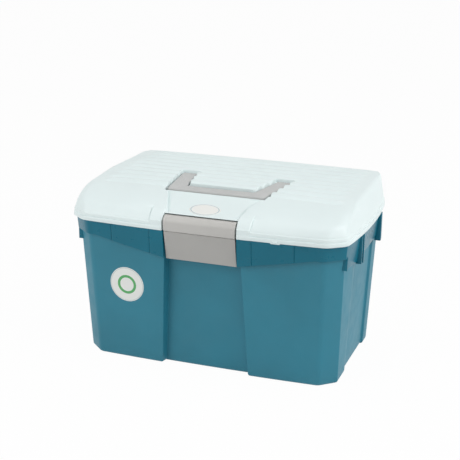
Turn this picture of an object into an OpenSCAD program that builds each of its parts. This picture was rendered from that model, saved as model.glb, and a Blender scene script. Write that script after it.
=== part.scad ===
// Horse grooming box: a moulded tub, a domed lid, a front latch, a folding carry handle and a lift-out tray.
// Millimetres. Origin on the floor under the middle of the tub, front towards -Y, +X to the right, +Z up.

/* [Overall] */
// Width over the lid rim
lid_w = 400; // [340:1:460]
// Depth over the lid rim
lid_d = 268; // [230:1:310]
// Height of the flange that the lid rests on
flange_z = 199.3; // [170:0.1:230]

/* [Tub] */
// How far the tub's wall lies in from the apron at the sides
wall_in_x = 6; // [4:0.5:9]
// How far the tub's wall lies in from the apron in front and behind
wall_in_y = 8; // [6:0.5:10]
// How far each side wall leans out from the floor to the top
draft_x = 11; // [4:0.5:18]
// How far the front and rear walls lean out from the floor to the top
draft_y = 17; // [6:0.5:22]
// Height of the lip that stands above the flange, inside the lid
lip_h = 6.7; // [4:0.1:7]
// Wall thickness of the tub
tub_wall = 3; // [2:0.1:3.5]
// Thickness of the tub floor
floor_t = 3; // [2:0.1:5]
// Leg of the flat chamfer on each corner of the tub wall in plan
wall_r = 25; // [24:1:30]
// How far the tub's side walls fall back towards the corners
wall_side_bow = 6; // [0:0.5:9]
// How far the tub's front and rear walls fall back towards the corners
wall_front_bow = 5; // [0:0.5:7]
// Height of the bevel round the foot of the tub
foot_bevel = 4; // [2:0.5:6]

/* [Recesses] */
// How much wider the front recess is on each side at the floor than behind the latch
recess_flare = 8.5; // [4:0.5:14]
// Depth of the front recess at the floor
recess_foot_depth = 9.5; // [7:0.5:12]
// Gap between the lip in the front recess and the lid's front panel
lip_gap = 0.9; // [0.5:0.1:2]
// Half length of the recessed panel on each side wall
side_panel_y = 52; // [40:1:56]
// How far behind the middle each recessed side panel is centred
side_panel_back = 8; // [0:1:10]
// Depth of the recessed panel on each side wall
side_panel_depth = 3; // [1.5:0.5:4]
// Width of the slanted flank of every recess
flank = 2.5; // [1:0.5:4]

/* [Apron] */
// How far the apron lies in from the lid rim at the sides
apron_in_x = 3; // [2:0.1:5]
// How far the apron lies in from the lid rim in front and behind
apron_in_y = 2.5; // [2:0.1:4]
// How much narrower the apron is on each side at the level of its lowest edge
apron_draft = 3.5; // [1:0.5:4]
// Thickness of the apron
apron_t = 2.8; // [2:0.1:3.5]
// Thickness of the flange between the wall and the apron
flange_t = 4; // [3:0.1:6]
// Corner radius of the apron in plan
apron_r = 38; // [32:1:42]
// Depth of the apron's front edge beside the latch
apron_drop_mid = 39; // [30:1:42]
// Depth of the apron's front edge at the corners
apron_drop_corner = 20; // [14:1:26]
// Depth of the apron's edge along the sides
apron_drop_side = 36; // [30:1:42]
// Height of the inner upright ribs over the apron
side_rib_h = 2; // [1:0.1:2.4]
// How much lower the outer upright ribs are
side_rib_step = 1; // [0:0.1:1]
// Thickness of each upright rib
side_rib_t = 4; // [3:0.5:6]
// Gap between the two ribs of a pair
side_rib_gap = 3; // [2:0.5:5]

/* [Lid] */
// Height of the upright lid rim
rim_h = 11.4; // [9:0.1:13]
// Height of the dome above the rim, to the foot of the ribs
dome_h = 32.6; // [28:0.1:38]
// Wall thickness of the lid
lid_wall = 3; // [2.4:0.1:3.4]
// Thickness of the sunk pans under the handle and of the front panel
pan_t = 2.4; // [2:0.1:3]
// Draft of the lid rim from its widest line to its foot
rim_draft = 0.8; // [0.4:0.1:1.2]
// Corner radius of the lid rim in plan
rim_r = 37; // [34:1:42]
// Corner radius of the flat top in plan
crown_r = 8; // [6:1:12]
// How far the sides of the lid fall back towards the corners
lid_side_bow = 10; // [4:0.5:12]
// How far the front and rear of the lid fall back towards the corners
lid_front_bow = 8; // [4:0.5:10]
// Step from the rim in to the foot of the dome
rim_step = 2; // [1:0.1:3]
// How far the dome's sides lean in over the height of the dome
side_lean = 9; // [6:0.5:12]
// How far the dome's rear leans in over the height of the dome
rear_lean = 5; // [4:0.5:8]
// Radius of the shoulder between the sides and the flat top
shoulder = 7; // [4:0.5:9]
// Share of the dome's height where the shoulder starts
shoulder_from = 0.8; // [0.7:0.05:0.9]
// Share of the bow that is gone at the flat top
bow_fade = 0.7; // [0.5:0.05:0.9]
// Power of the dome's front curve along its length
dome_power = 2.5; // [2:0.1:3]
// Power of the dome's front curve over its height
dome_ease = 0.7; // [0.6:0.05:0.8]
// Length of the dome's front curve, from the flat top to the rim
dome_l = 112; // [90:1:124]
// Pitch of the ribs across the top
rib_pitch = 20; // [16:0.5:24]
// Height of the ribs across the top
rib_h = 1.7; // [1:0.1:2.5]
// Distance from the lid rim to the rear edge of the rearmost rib
rib_rear_in = 17; // [15:0.5:24]
// Distance from the handle's front edge back to the front edge of the foremost rib
rib_front_in = 12; // [4:1:30]
// Distance from the rib ends to the side of the flat top
rib_end_gap = 6; // [3:1:12]

/* [Latch] */
// Width of the latch
latch_w = 99; // [90:0.5:100]
// Gap between the latch and each side of the front recess
latch_gap = 2; // [1:0.1:3]
// How far the roll of the latch lies in from the lid rim
latch_set = 1; // [0.5:0.1:3]
// Gap under the roll of the latch
latch_rise = 1.9; // [1.5:0.1:3]
// Radius of the latch pin
latch_pin_r = 2.5; // [2:0.1:2.8]
// Radius of the rolled top of the latch
latch_roll_r = 9.5; // [8:0.1:10]
// Angle over the pin at which the roll's round back ends
roll_from = 70; // [60:5:90]
// How far the belly of the roll falls back at the top of the flap
latch_belly = 0.8; // [0.5:0.1:2]
// Step from the belly of the roll back to the flap
flap_step = 1.3; // [0.3:0.1:1.6]
// Length of the latch flap under the roll
flap_l = 41; // [36:0.5:44]
// Thickness of the latch flap
flap_t = 2.6; // [2:0.1:3.2]
// How far the foot of the flap leans in
flap_lean = 8.5; // [5:0.5:9]
// Width of the raised cheeks beside the latch
cheek_w = 18.5; // [14:0.5:24]
// Height of the cheeks over the slope of the lid
cheek_h = 2.6; // [1.5:0.1:3]
// How far behind the latch pin the catch ledge ends
catch_set = 0.55; // [0.3:0.05:1.2]
// Distance that the latch hook reaches behind the flap
hook_l = 7; // [5:0.5:8]
// Thickness of the latch hook at its tip
hook_t = 2; // [1.5:0.1:3]

/* [Handle] */
// Half width of the handle over its front bar
handle_front_x = 69; // [64:0.5:76]
// Half width of the handle over the rear ends of its arms
handle_rear_x = 80; // [76:0.5:90]
// Distance from the lid rim back to the front edge of the handle
handle_set = 59; // [54:0.5:66]
// Length of the handle from its front edge to its rear ends
handle_l = 93.5; // [80:0.5:104]
// Width of the handle's arms
arm_w = 21; // [18:0.5:24]
// Width of the handle's front bar
bar_w = 23; // [18:0.5:26]
// Thickness of the handle
handle_t = 9; // [8:0.1:10]
// Height of the handle's top face under the flat top
handle_sunk = 4; // [2:0.1:5]
// Radius of the handle's outer corners
handle_r = 6; // [3:0.5:8]
// Radius of the handle pins
handle_pin_r = 2.5; // [2:0.1:2.8]
// Depth of the well under the handle
well_gap = 2.5; // [2:0.1:4]
// Width of the finger pocket behind the front bar
finger_w = 16; // [12:0.5:22]
// Thickness of the wall between the well and the front panel
well_rim = 2.4; // [2:0.1:4]
// Depth of the front panel's top edge under the dome
panel_sunk = 0.6; // [0.2:0.1:2]
// Half width of the front panel at its top edge
panel_top_x = 63; // [56:1:68]
// Angle over the latch pin at which the front panel ends
panel_end = 75; // [60:5:80]

/* [Hinge] */
// Distance of the two hinges from the middle
hinge_x = 110; // [90:1:125]
// Distance of the hinge axis behind the lid rim
hinge_out = 5.5; // [5:0.1:8]
// Radius of the hinge knuckles
knuckle_r = 4.5; // [4:0.1:5]
// Radius of the hinge pins
hinge_pin_r = 2; // [1.5:0.1:2.4]
// Length of the lid's knuckle
lid_knuckle_l = 22; // [16:1:30]
// Length of each of the tub's knuckles
tub_knuckle_l = 12; // [8:1:16]

/* [Tray] */
// Gap between the tray and the tub all round
tray_gap = 4.4; // [3:0.1:8]
// Depth of the tray's top edge under the flange
tray_sunk = 21.3; // [16:0.1:40]
// Depth of the tray
tray_h = 60; // [45:1:65]
// Wall thickness of the tray
tray_wall = 2.2; // [1.6:0.1:3]
// Corner radius of the tray
tray_r = 30; // [24:1:36]
// Gap between the tray's flanges and the tub's wall
tray_flange_gap = 2.4; // [1.5:0.1:4]
// Half length of the tray's flanges and of the rails that carry them
rail_y = 55; // [40:1:60]
// How far each rail stands out from the tub's wall
rail_l = 9; // [8:0.5:10]
// Thickness of each rail
rail_t = 4; // [3:0.5:6]
// Distance of the two dividers from the middle
divider_x = 58; // [40:1:90]
// Thickness of each divider
divider_t = 2; // [1.5:0.1:3]

/* [Labels] */
// Width of the oval label on the lid
oval_w = 43; // [30:1:50]
// Height of the oval label on the lid
oval_h = 24; // [16:1:28]
// Share of the front panel's slope at which the oval label's middle lies
oval_down = 0.68; // [0.4:0.01:0.7]
// Diameter of the round label on the tub
round_d = 50; // [40:1:54]
// Gap between the front recess and the round label
round_gap = 23.5; // [10:0.5:30]
// Height of the round label's middle
round_z = 111; // [80:1:130]
// Thickness of both labels
label_t = 0.6; // [0.4:0.1:1]

/* [Fits] */
// Radial clearance of every pin in its bore
pin_clear = 0.05; // [0.02:0.01:0.1]
// Gap between faces that rest on each other and move apart
rest_gap = 0.3; // [0.2:0.05:0.5]
// Side clearance of moving pieces in their openings
side_gap = 1.2; // [0.8:0.1:1.6]
// Closed end left beyond the latch pin's bore
pin_end = 1; // [0.8:0.1:1.5]
// End play of a pin in its blind bore
pin_play = 0.5; // [0.3:0.1:0.8]

/* [Hidden] */
$fn = 48;

// Colours as moulded
teal = [0.25, 0.47, 0.55];
mint = [0.87, 0.92, 0.91];
grey = [0.72, 0.71, 0.70];
steel = [0.75, 0.76, 0.78];
paper = [0.94, 0.94, 0.92];

// Sizes in plan, all taken from the lid's rim
apron_w = lid_w - 2 * apron_in_x;
apron_d = lid_d - 2 * apron_in_y;
top_w = apron_w - 2 * wall_in_x;
top_d = apron_d - 2 * wall_in_y;
base_w = top_w - 2 * draft_x;
base_d = top_d - 2 * draft_y;
flat_front = lid_d / 2 - rim_step - dome_l;
hinge_y = lid_d / 2 + hinge_out;
latch_pin_y = lid_d / 2 - latch_set - latch_roll_r;
latch_wall_y = latch_pin_y - latch_roll_r - side_gap;
handle_front_y = lid_d / 2 - handle_set;
handle_pivot_y = handle_l - handle_t / 2 - handle_front_y;
rib_rear = lid_d / 2 - rib_rear_in;
rib_count = floor((rib_rear + handle_front_y - rib_front_in) / rib_pitch);
latch_room_r = latch_roll_r + side_gap;
panel_top_y = handle_front_y + side_gap + well_rim;
panel_low_y = latch_pin_y - latch_room_r * cos(panel_end);
recess_depth = top_d / 2 - latch_wall_y + pan_t + lip_gap;
recess_top_x = latch_w / 2 + latch_gap;
recess_foot_x = recess_top_x + recess_flare;
cheek_x = recess_top_x + cheek_w;
side_rib_y = side_panel_y;
round_x = recess_foot_x + flank + round_gap + round_d / 2;

// Heights
lip_z = flange_z + lip_h;
rim_z = flange_z + rest_gap;
dome_z = rim_z + rim_h;
crown_z = dome_z + dome_h;
recess_knee_z = flange_z - apron_drop_mid;
latch_pin_up = latch_roll_r + latch_rise;
latch_z = rim_z + latch_pin_up;
panel_low = latch_z + latch_room_r * sin(panel_end);
panel_top = front_z(panel_top_y) - panel_sunk;
handle_top = crown_z + rib_h - handle_sunk;
handle_bottom = handle_top - handle_t;
well_z = handle_bottom - well_gap;
pivot_z = (handle_top + handle_bottom) / 2;
tray_top = flange_z - tray_sunk;
tray_floor = tray_top - tray_h;
rail_z = tray_top - tray_wall - rest_gap;

// Tray in the tub
tray_half = wall_a(rail_z) - side_panel_depth - tub_wall - rail_l - tray_gap;
tray_front = wall_b(tray_floor) - recess_depth - tub_wall - tray_gap;
tray_rear = wall_b(tray_floor) - tub_wall - wall_front_bow - tray_gap;
tray_flange = tray_gap + rail_l - tray_flange_gap;

// Steps, cuts and pins
eps = 0.01;
arc_steps = 6;
cut = 2;
hinge_half = lid_knuckle_l / 2 + rest_gap + tub_knuckle_l;
handle_pin_in = handle_rear_x - arm_w - side_gap - pan_t / 2 + pin_play;
handle_pin_out = handle_rear_x + side_gap + pan_t / 2 - pin_play;

// Plan shapes

// A point of a rounded rectangle, pushed in towards the corners so that all four sides bow outwards
function bowed(p, a, b, sx, sy) =
    [p.x - sx * pow(p.y / b, 2) * pow(p.x / a, 3), p.y - sy * pow(p.x / a, 2) * pow(p.y / b, 3)];

// Points inside one corner, from angle t0 through a quarter turn: on an arc, or on the flat of a chamfer
function corner(cx, cy, r, t0, flat) =
    [for (i = [1 : arc_steps])
        let (t = t0 + 90 * i / (arc_steps + 1), k = flat ? r / (abs(cos(t)) + abs(sin(t))) : r)
        [cx + k * cos(t), cy + k * sin(t)]];

// A bowed outline with a notch of half width nx and depth nd in front, and panels of half length py and
// depth pd in the sides, centred at ps; the same stations serve every height, so outlines can be joined
// into walls
function outline(a, b, r, sx, sy, nx = 50, nd = 0, py = 40, pd = 0, ps = 0, flat = false) =
    let (fx = [a - r, (a - r + nx + flank) / 2, nx + flank, nx, nx / 2],
         ry = [py + flank, py, py / 2],
         front = concat([for (x = fx) -x], [0], [for (i = [4 : -1 : 0]) fx[i]]),
         side = concat([r - b], [for (y = ry) ps - y], [ps], [for (i = [2 : -1 : 0]) ps + ry[i]], [b - r]))
    concat([for (x = front) bowed([x, -b], a, b, sx, sy) + [0, abs(x) <= nx ? nd : 0]],
           [for (p = corner(a - r, r - b, r, -90, flat)) bowed(p, a, b, sx, sy)],
           [for (y = side) bowed([a, y], a, b, sx, sy) - [abs(y - ps) <= py ? pd : 0, 0]],
           [for (p = corner(a - r, b - r, r, 0, flat)) bowed(p, a, b, sx, sy)],
           [for (i = [10 : -1 : 0]) bowed([front[i], b], a, b, sx, sy)],
           [for (p = corner(r - a, b - r, r, 90, flat)) bowed(p, a, b, sx, sy)],
           [for (i = [8 : -1 : 0]) bowed([-a, side[i]], a, b, sx, sy) + [abs(side[i] - ps) <= py ? pd : 0, 0]],
           [for (p = corner(r - a, r - b, r, 180, flat)) bowed(p, a, b, sx, sy)]);

// An outline lifted to height z and moved by y
function lifted(points, z, y = 0) = [for (p = points) [p.x, p.y + y, z]];

// Plain rounded rectangle from x0, y0 to x1, y1
function rounded_box(x0, y0, x1, y1, r) =
    concat([for (i = [0 : 8]) [x1 - r + r * sin(i * 90 / 8), y0 + r - r * cos(i * 90 / 8)]],
           [for (i = [0 : 8]) [x1 - r + r * cos(i * 90 / 8), y1 - r + r * sin(i * 90 / 8)]],
           [for (i = [0 : 8]) [x0 + r - r * sin(i * 90 / 8), y1 - r + r * cos(i * 90 / 8)]],
           [for (i = [0 : 8]) [x0 + r - r * cos(i * 90 / 8), y0 + r - r * sin(i * 90 / 8)]]);

// Solid through a list of rings with the same number of points, closed at both ends
module skin(rings) {
    n = len(rings[0]);
    m = len(rings);
    sides = [for (j = [0 : m - 2], i = [0 : n - 1], k = [0, 1])
        let (a = j * n + i, b = j * n + (i + 1) % n)
        k == 0 ? [a, a + n, b + n] : [a, b + n, b]];
    ends = [[for (i = [0 : n - 1]) i], [for (i = [n - 1 : -1 : 0]) (m - 1) * n + i]];
    polyhedron([for (r = rings) each r], concat(sides, ends), convexity = 8);
}

// Outline in the Y-Z plane, drawn out along X from x0 to x1
module along_x(points, x0, x1) {
    translate([x0, 0, 0]) rotate([90, 0, 90]) linear_extrude(x1 - x0) polygon(points);
}

// Round bar along X from x0 to x1
module bar_x(r, x0, x1, y, z) {
    translate([x0, y, z]) rotate([0, 90, 0]) cylinder(r = r, h = x1 - x0);
}

// Bore for the pin of the hinge at x
module hinge_bore(x) {
    bar_x(hinge_pin_r + pin_clear, x - hinge_half - eps, x + hinge_half + eps, hinge_y, rim_z);
}

// Tub

// Half width and half depth of the tub's wall at height z
function wall_a(z) = (base_w + (top_w - base_w) * z / lip_z) / 2;
function wall_b(z) = (base_d + (top_d - base_d) * z / lip_z) / 2;
// Half width of the front recess at height z
function recess_x(z) = recess_foot_x + (recess_top_x - recess_foot_x) * min(1, z / recess_knee_z);
// Depth of the front recess at height z
function recess_in(z) = recess_foot_depth + (recess_depth - recess_foot_depth) * min(1, z / recess_knee_z);
// The tub's outside at height z, moved in by a wall's thickness for its inside
function wall_ring(z, in = 0) =
    lifted(outline(wall_a(z) - in, wall_b(z) - in, wall_r - in * (2 - sqrt(2)), wall_side_bow * z / lip_z,
                   wall_front_bow, recess_x(z) + in, recess_in(z), side_panel_y + in, side_panel_depth,
                   side_panel_back, true), z);

module tub_shell() {
    skin([wall_ring(0, foot_bevel / 2), wall_ring(foot_bevel), wall_ring(recess_knee_z), wall_ring(lip_z),
          wall_ring(lip_z, tub_wall), wall_ring(recess_knee_z, tub_wall), wall_ring(floor_t, tub_wall)]);
}

// Half width and half depth of the apron's outside at height z
function apron_a(z) = apron_w / 2 - apron_draft * (flange_z - z) / apron_drop_mid;
function apron_b(z) = apron_d / 2 - apron_draft * (flange_z - z) / apron_drop_mid;
// Height of the apron's lower edge at point p of its outline: a shallow V in front, level along the sides
function apron_low(p) =
    let (along = (abs(p.x) - recess_top_x) / (apron_w / 2 - apron_r - recess_top_x))
    abs(p.y) < apron_d / 2 - apron_r + eps ? flange_z - apron_drop_side
    : flange_z - apron_drop_mid + (apron_drop_mid - apron_drop_corner) * min(1, max(0, along));
function apron_outline(z, in) =
    outline(apron_a(z) - in, apron_b(z) - in, apron_r - in, lid_side_bow, lid_front_bow, recess_top_x);

// The apron is an L section, carried round the tub from one side of the front recess to the other
module apron() {
    top = apron_outline(flange_z, 0);
    low = apron_outline(flange_z - apron_drop_mid, 0);
    wall = wall_ring(flange_z, tub_wall / 2);
    n = len(top);
    start = 7;
    count = n - 3;
    function out_at(i, z) = let (t = (flange_z - z) / apron_drop_mid) top[i] * (1 - t) + low[i] * t;
    function inward(i) = let (d = [wall[i].x, wall[i].y] - top[i]) d / norm(d);
    skin([for (s = [0 : count - 1])
        let (i = (start + s) % n, z = apron_low(top[i]), o = out_at(i, z), d = inward(i) * apron_t)
        [[top[i].x, top[i].y, flange_z], [o.x, o.y, z], [o.x + d.x, o.y + d.y, z],
         [top[i].x + d.x, top[i].y + d.y, flange_z - flange_t],
         [wall[i].x, wall[i].y, flange_z - flange_t], [wall[i].x, wall[i].y, flange_z]]]);
}

// Ledge in the recess that the latch hooks under
module catch_ledge() {
    front = latch_pin_y - catch_set;
    rear = wall_b(flange_z) - recess_depth - tub_wall / 2;
    translate([-recess_top_x - tub_wall, -front, flange_z - flange_t])
        cube([2 * (recess_top_x + tub_wall), front - rear, flange_t]);
}

// Room over the flange for the lid's front panel and its cheeks, up to the lip in the recess
module lip_cut() {
    half = cheek_x + side_gap;
    rear = latch_wall_y - pan_t - rest_gap;
    translate([-half, -lid_d, flange_z]) cube([2 * half, lid_d - rear, lip_h + cut]);
}

// Upright ribs in pairs on one side's apron
module side_ribs() {
    low = flange_z - apron_drop_side - side_rib_t;
    for (end = [-1, 1], k = [0, 1])
        translate([apron_a(low) - apron_t,
                   side_panel_back + end * (side_rib_y + k * (side_rib_t + side_rib_gap)) - side_rib_t / 2,
                   low])
            cube([apron_t + apron_draft + side_rib_h - k * side_rib_step, side_rib_t, flange_z - low]);
}

// Rail on the inside of one side wall, on which the tray hangs
module rail() {
    wall = wall_a(rail_z) - side_panel_depth;
    translate([wall - tub_wall - rail_l, -rail_y, rail_z - rail_t])
        cube([rail_l + tub_wall / 2, 2 * rail_y, rail_t]);
}

// Knuckles of one hinge on the tub, with the web that carries them
module tub_knuckles(x) {
    web = apron_d / 2 - lid_front_bow * pow(2 * (abs(x) + lid_knuckle_l) / apron_w, 2) - 1.5 * apron_t;
    for (end = [-1, 1]) {
        x0 = x + end * (lid_knuckle_l / 2 + rest_gap + tub_knuckle_l / 2) - tub_knuckle_l / 2;
        along_x([[web, flange_z - 4 * flange_t], [hinge_y, rim_z - knuckle_r + rest_gap],
                 [hinge_y, flange_z], [web, flange_z]], x0, x0 + tub_knuckle_l);
        bar_x(knuckle_r, x0, x0 + tub_knuckle_l, hinge_y, rim_z);
    }
}

module tub() {
    color(teal) difference() {
        union() {
            tub_shell();
            apron();
            catch_ledge();
            for (end = [0, 1]) mirror([end, 0, 0]) {
                side_ribs();
                rail();
                tub_knuckles(hinge_x);
            }
        }
        for (end = [-1, 1])
            hinge_bore(end * hinge_x);
        lip_cut();
    }
}

// Lid

// Front of the dome: how far out it is at the share t of its height, and the height at distance y in front
function front_at(t) = flat_front + (lid_d / 2 - rim_step - flat_front)
    * pow(1 - pow(t, 1 / dome_ease), 1 / dome_power);
function front_z(y) =
    let (u = min(1, max(0, (y - flat_front) / (lid_d / 2 - rim_step - flat_front))))
    dome_z + dome_h * pow(1 - pow(u, dome_power), dome_ease);
// Side and rear of the dome at the share t of its height
function shoulder_at(t) = 
    let (k = max(0, t - shoulder_from) / (1 - shoulder_from)) shoulder * (1 - sqrt(1 - k * k));
function side_at(t) = lid_w / 2 - rim_step - side_lean * t - shoulder_at(t);
function rear_at(t) = lid_d / 2 - rim_step - rear_lean * t - shoulder_at(t) / 2;
// One level of the dome, moved in by the wall's thickness for its inside
function dome_ring(t, in, drop) =
    let (yf = front_at(t) - in, yr = rear_at(t) - in, r = rim_r + (crown_r - rim_r) * sqrt(t))
    lifted(outline(side_at(t) - in, (yf + yr) / 2, max(r - in, crown_r / 2),
                   lid_side_bow * (1 - bow_fade * t), lid_front_bow * (1 - bow_fade * t)),
           dome_z + dome_h * t - drop, (yr - yf) / 2);
function rim_ring(z, out) =
    lifted(outline(lid_w / 2 + out, lid_d / 2 + out, rim_r + out, lid_side_bow, lid_front_bow), z);

// Shares of the dome's height at which its outline is set
levels = [0, 0.15, 0.35, 0.55, 0.72, 0.86, 0.95, 1];
module lid_outside() {
    skin(concat([rim_ring(rim_z, -rim_draft), rim_ring(rim_z + rim_h / 2, 0),
                 rim_ring(dome_z - rim_step, -rim_draft / 2)],
                [for (t = levels) dome_ring(t, 0, 0)]));
}
module lid_inside() {
    skin(concat([rim_ring(rim_z - cut, -lid_wall - rim_draft),
                 rim_ring(dome_z - lid_wall, -lid_wall - rim_step)],
                [for (i = [1 : len(levels) - 1]) dome_ring(levels[i], lid_wall, lid_wall)]));
}

// Ribs across the top, each a shallow scallop that follows the dome
module top_ribs() {
    steps = 6;
    half = side_at(1) - rib_end_gap;
    for (k = [0 : rib_count - 1]) {
        y1 = rib_rear - k * rib_pitch;
        ys = [for (i = [0 : steps]) y1 - rib_pitch * i / steps];
        crest = [for (i = [0 : steps]) [ys[i], front_z(-ys[i]) + rib_h * (1 - pow(2 * i / steps - 1, 2))]];
        foot = [for (i = [steps : -1 : 0]) [ys[i], front_z(-ys[i]) - lid_wall / 2]];
        along_x(concat(crest, foot), -half, half);
    }
}

// The handle's outline in plan, grown by g; the arms run parallel where they turn about the pivot
function handle_outer(g) =
    let (x0 = handle_front_x + g, x1 = handle_rear_x + g, front = -handle_front_y - g,
         knee = handle_pivot_y - handle_t / 2, rear = handle_pivot_y + handle_t / 2 + g)
    [[-x0, front], [x0, front], [x1, knee], [x1, rear], [-x1, rear], [-x1, knee]];
function handle_inner(g) =
    let (x0 = handle_front_x - arm_w - g, x1 = handle_rear_x - arm_w - g, front = bar_w + g - handle_front_y,
         knee = handle_pivot_y - handle_t / 2, rear = handle_pivot_y + handle_t)
    [[-x0, front], [x0, front], [x1, knee], [x1, rear], [-x1, rear], [-x1, knee]];

// The well that the handle folds into, with a finger pocket behind its front bar
module handle_well(g) {
    linear_extrude(crown_z) difference() {
        polygon(handle_outer(side_gap + g));
        polygon(handle_inner(side_gap + g));
    }
    translate([-handle_front_x + arm_w - g, -handle_front_y + bar_w - g, 0])
        cube([2 * (handle_front_x - arm_w + g), finger_w + 2 * g, crown_z]);
}

// Room over the front panel and round the latch, grown by g: above the panel's flat slope, which flares
// towards the handle, and then round the roll and down in front of the upright wall behind the latch
module panel_room(g) {
    x = recess_top_x + g;
    wide = panel_top_x + g;
    front = -lid_d / 2 - 2 * cheek_h;
    top = crown_z + rib_h + cut;
    intersection() {
        along_x([[g - panel_top_y, top], [g - panel_top_y, panel_top - g], [-panel_low_y, panel_low - g],
                 [front, panel_low - g], [front, top]], -wide, wide);
        linear_extrude(top) polygon([[-x, front], [x, front], [x, -latch_pin_y], [wide, -panel_top_y],
                                     [wide, 0], [-wide, 0], [-wide, -panel_top_y], [-x, -latch_pin_y]]);
    }
    bar_x(latch_room_r + g, -x, x, -latch_pin_y, latch_z);
    along_x([[g - latch_wall_y, rim_z - cut], [g - latch_wall_y, latch_z], [front, latch_z],
             [front, rim_z - cut]], -x, x);
}

// One raised cheek beside the latch; its foot clears the tub's lip
module cheek() {
    y0 = latch_wall_y - handle_t;
    y1 = lid_d / 2 - rim_step;
    ys = [for (i = [0 : 5]) y0 + (y1 - y0) * i / 5];
    front = [for (i = [0 : 5]) let (h = cheek_h * min(1, i / 2)) [-ys[i] - h / 2, front_z(ys[i]) + h]];
    along_x(concat([[-ys[0], front_z(ys[0]) - lid_wall]], front,
                   [[-lid_d / 2 + rim_draft / 2, dome_z], [-lid_d / 2 + rim_draft, rim_z + rest_gap],
                    [-latch_pin_y - latch_pin_r, rim_z + rest_gap],
                    [-latch_pin_y - latch_pin_r, lip_z + rest_gap], [-ys[0], lip_z + rest_gap]]),
            recess_top_x, cheek_x);
}

// The lid's knuckle of one hinge, with the web that carries it
module lid_knuckle(x) {
    web = lid_d / 2 - lid_front_bow * pow(2 * (abs(x) + lid_knuckle_l) / lid_w, 2) - 0.8 * lid_wall;
    along_x([[web, rim_z + rest_gap], [hinge_y, rim_z - rest_gap], [hinge_y, rim_z + knuckle_r],
             [web, rim_z + 0.75 * rim_h]], x - lid_knuckle_l / 2, x + lid_knuckle_l / 2);
    bar_x(knuckle_r, x - lid_knuckle_l / 2, x + lid_knuckle_l / 2, hinge_y, rim_z);
}

module lid() {
    color(mint) difference() {
        union() {
            difference() {
                union() {
                    lid_outside();
                    top_ribs();
                }
                difference() {
                    lid_inside();
                    translate([0, 0, well_z - pan_t]) handle_well(pan_t);
                    panel_room(pan_t);
                }
            }
            for (end = [0, 1]) mirror([end, 0, 0]) cheek();
            for (end = [-1, 1]) lid_knuckle(end * hinge_x);
        }
        translate([0, 0, well_z]) handle_well(0);
        panel_room(0);
        bar_x(latch_pin_r + pin_clear, pin_end - cheek_x, cheek_x - pin_end, -latch_pin_y, latch_z);
        for (end = [0, 1]) mirror([end, 0, 0])
            bar_x(handle_pin_r + pin_clear, handle_pin_in - pin_play, handle_pin_out + pin_play,
                  handle_pivot_y, pivot_z);
        for (end = [-1, 1])
            hinge_bore(end * hinge_x);
    }
}

// Latch: a rolled top on the pin, a flap that hangs over the recess and a hook behind it
module latch() {
    flap_top = rim_z;
    flap_low = rim_z - flap_l;
    pin = [-latch_pin_y, latch_z];
    roll = [for (i = [0 : 8])
        let (t = roll_from + (180 - roll_from) * i / 8) latch_roll_r * [cos(t), sin(t)]];
    belly = [for (i = [1 : 6]) let (s = i / 6) [latch_belly * s * s - latch_roll_r, -latch_pin_up * s]];
    face = belly[5] + pin + [flap_step, 0];
    hook_top = flange_z - flange_t - rest_gap;
    hook_low = hook_top - hook_l;
    root = face.x + flap_t;
    profile = concat([for (p = concat(roll, belly)) p + pin],
                     [face, [face.x + flap_lean, flap_low], [root + flap_lean, flap_low],
                      [root + flap_lean * (flap_top - hook_low) / flap_l, hook_low],
                      [root + hook_l, hook_top - hook_t], [root + hook_l, hook_top], [root, hook_top],
                      [root, flap_top], pin + [0, -latch_pin_r - flap_t], pin + [2 * latch_pin_r, 0]]);
    color(grey) difference() {
        along_x(profile, -latch_w / 2, latch_w / 2);
        bar_x(latch_pin_r + pin_clear, -latch_w, latch_w, -latch_pin_y, latch_z);
    }
}

module latch_pin() {
    color(steel) bar_x(latch_pin_r, pin_end + pin_play - cheek_x, cheek_x - pin_end - pin_play,
                       -latch_pin_y, latch_z);
}

// Handle: a flat U on two pins; the rear ends of its arms are rounded about the pivot
module handle() {
    color(grey) difference() {
        intersection() {
            translate([0, 0, handle_bottom]) linear_extrude(handle_t) difference() {
                polygon(handle_outer(0));
                polygon(handle_inner(0));
            }
            union() {
                bar_x(handle_t / 2, -handle_rear_x, handle_rear_x, handle_pivot_y, pivot_z);
                translate([-handle_rear_x, -handle_front_y, handle_bottom])
                    cube([2 * handle_rear_x, handle_front_y + handle_pivot_y, handle_t]);
            }
        }
        bar_x(handle_pin_r + pin_clear, -handle_rear_x - cut, handle_rear_x + cut, handle_pivot_y, pivot_z);
        for (end = [0, 1]) mirror([end, 0, 0])
            translate([handle_front_x - handle_r, handle_r - handle_front_y, handle_bottom - cut])
                difference() {
                    translate([0, -handle_r - cut, 0])
                        cube([handle_r + cut, handle_r + cut, handle_t + 2 * cut]);
                    cylinder(r = handle_r, h = handle_t + 2 * cut);
                }
    }
}

// One handle pin, through the arm and both walls of its well
module handle_pin() {
    color(steel) bar_x(handle_pin_r, handle_pin_in, handle_pin_out, handle_pivot_y, pivot_z);
}
module handle_pin_right() { handle_pin(); }
module handle_pin_left() { mirror([1, 0, 0]) handle_pin(); }

// One hinge pin, through the lid's knuckle and the tub's two
module hinge_pin() {
    color(steel) bar_x(hinge_pin_r, hinge_x - hinge_half, hinge_x + hinge_half, hinge_y, rim_z);
}
module hinge_pin_right() { hinge_pin(); }
module hinge_pin_left() { mirror([1, 0, 0]) hinge_pin(); }

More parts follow.
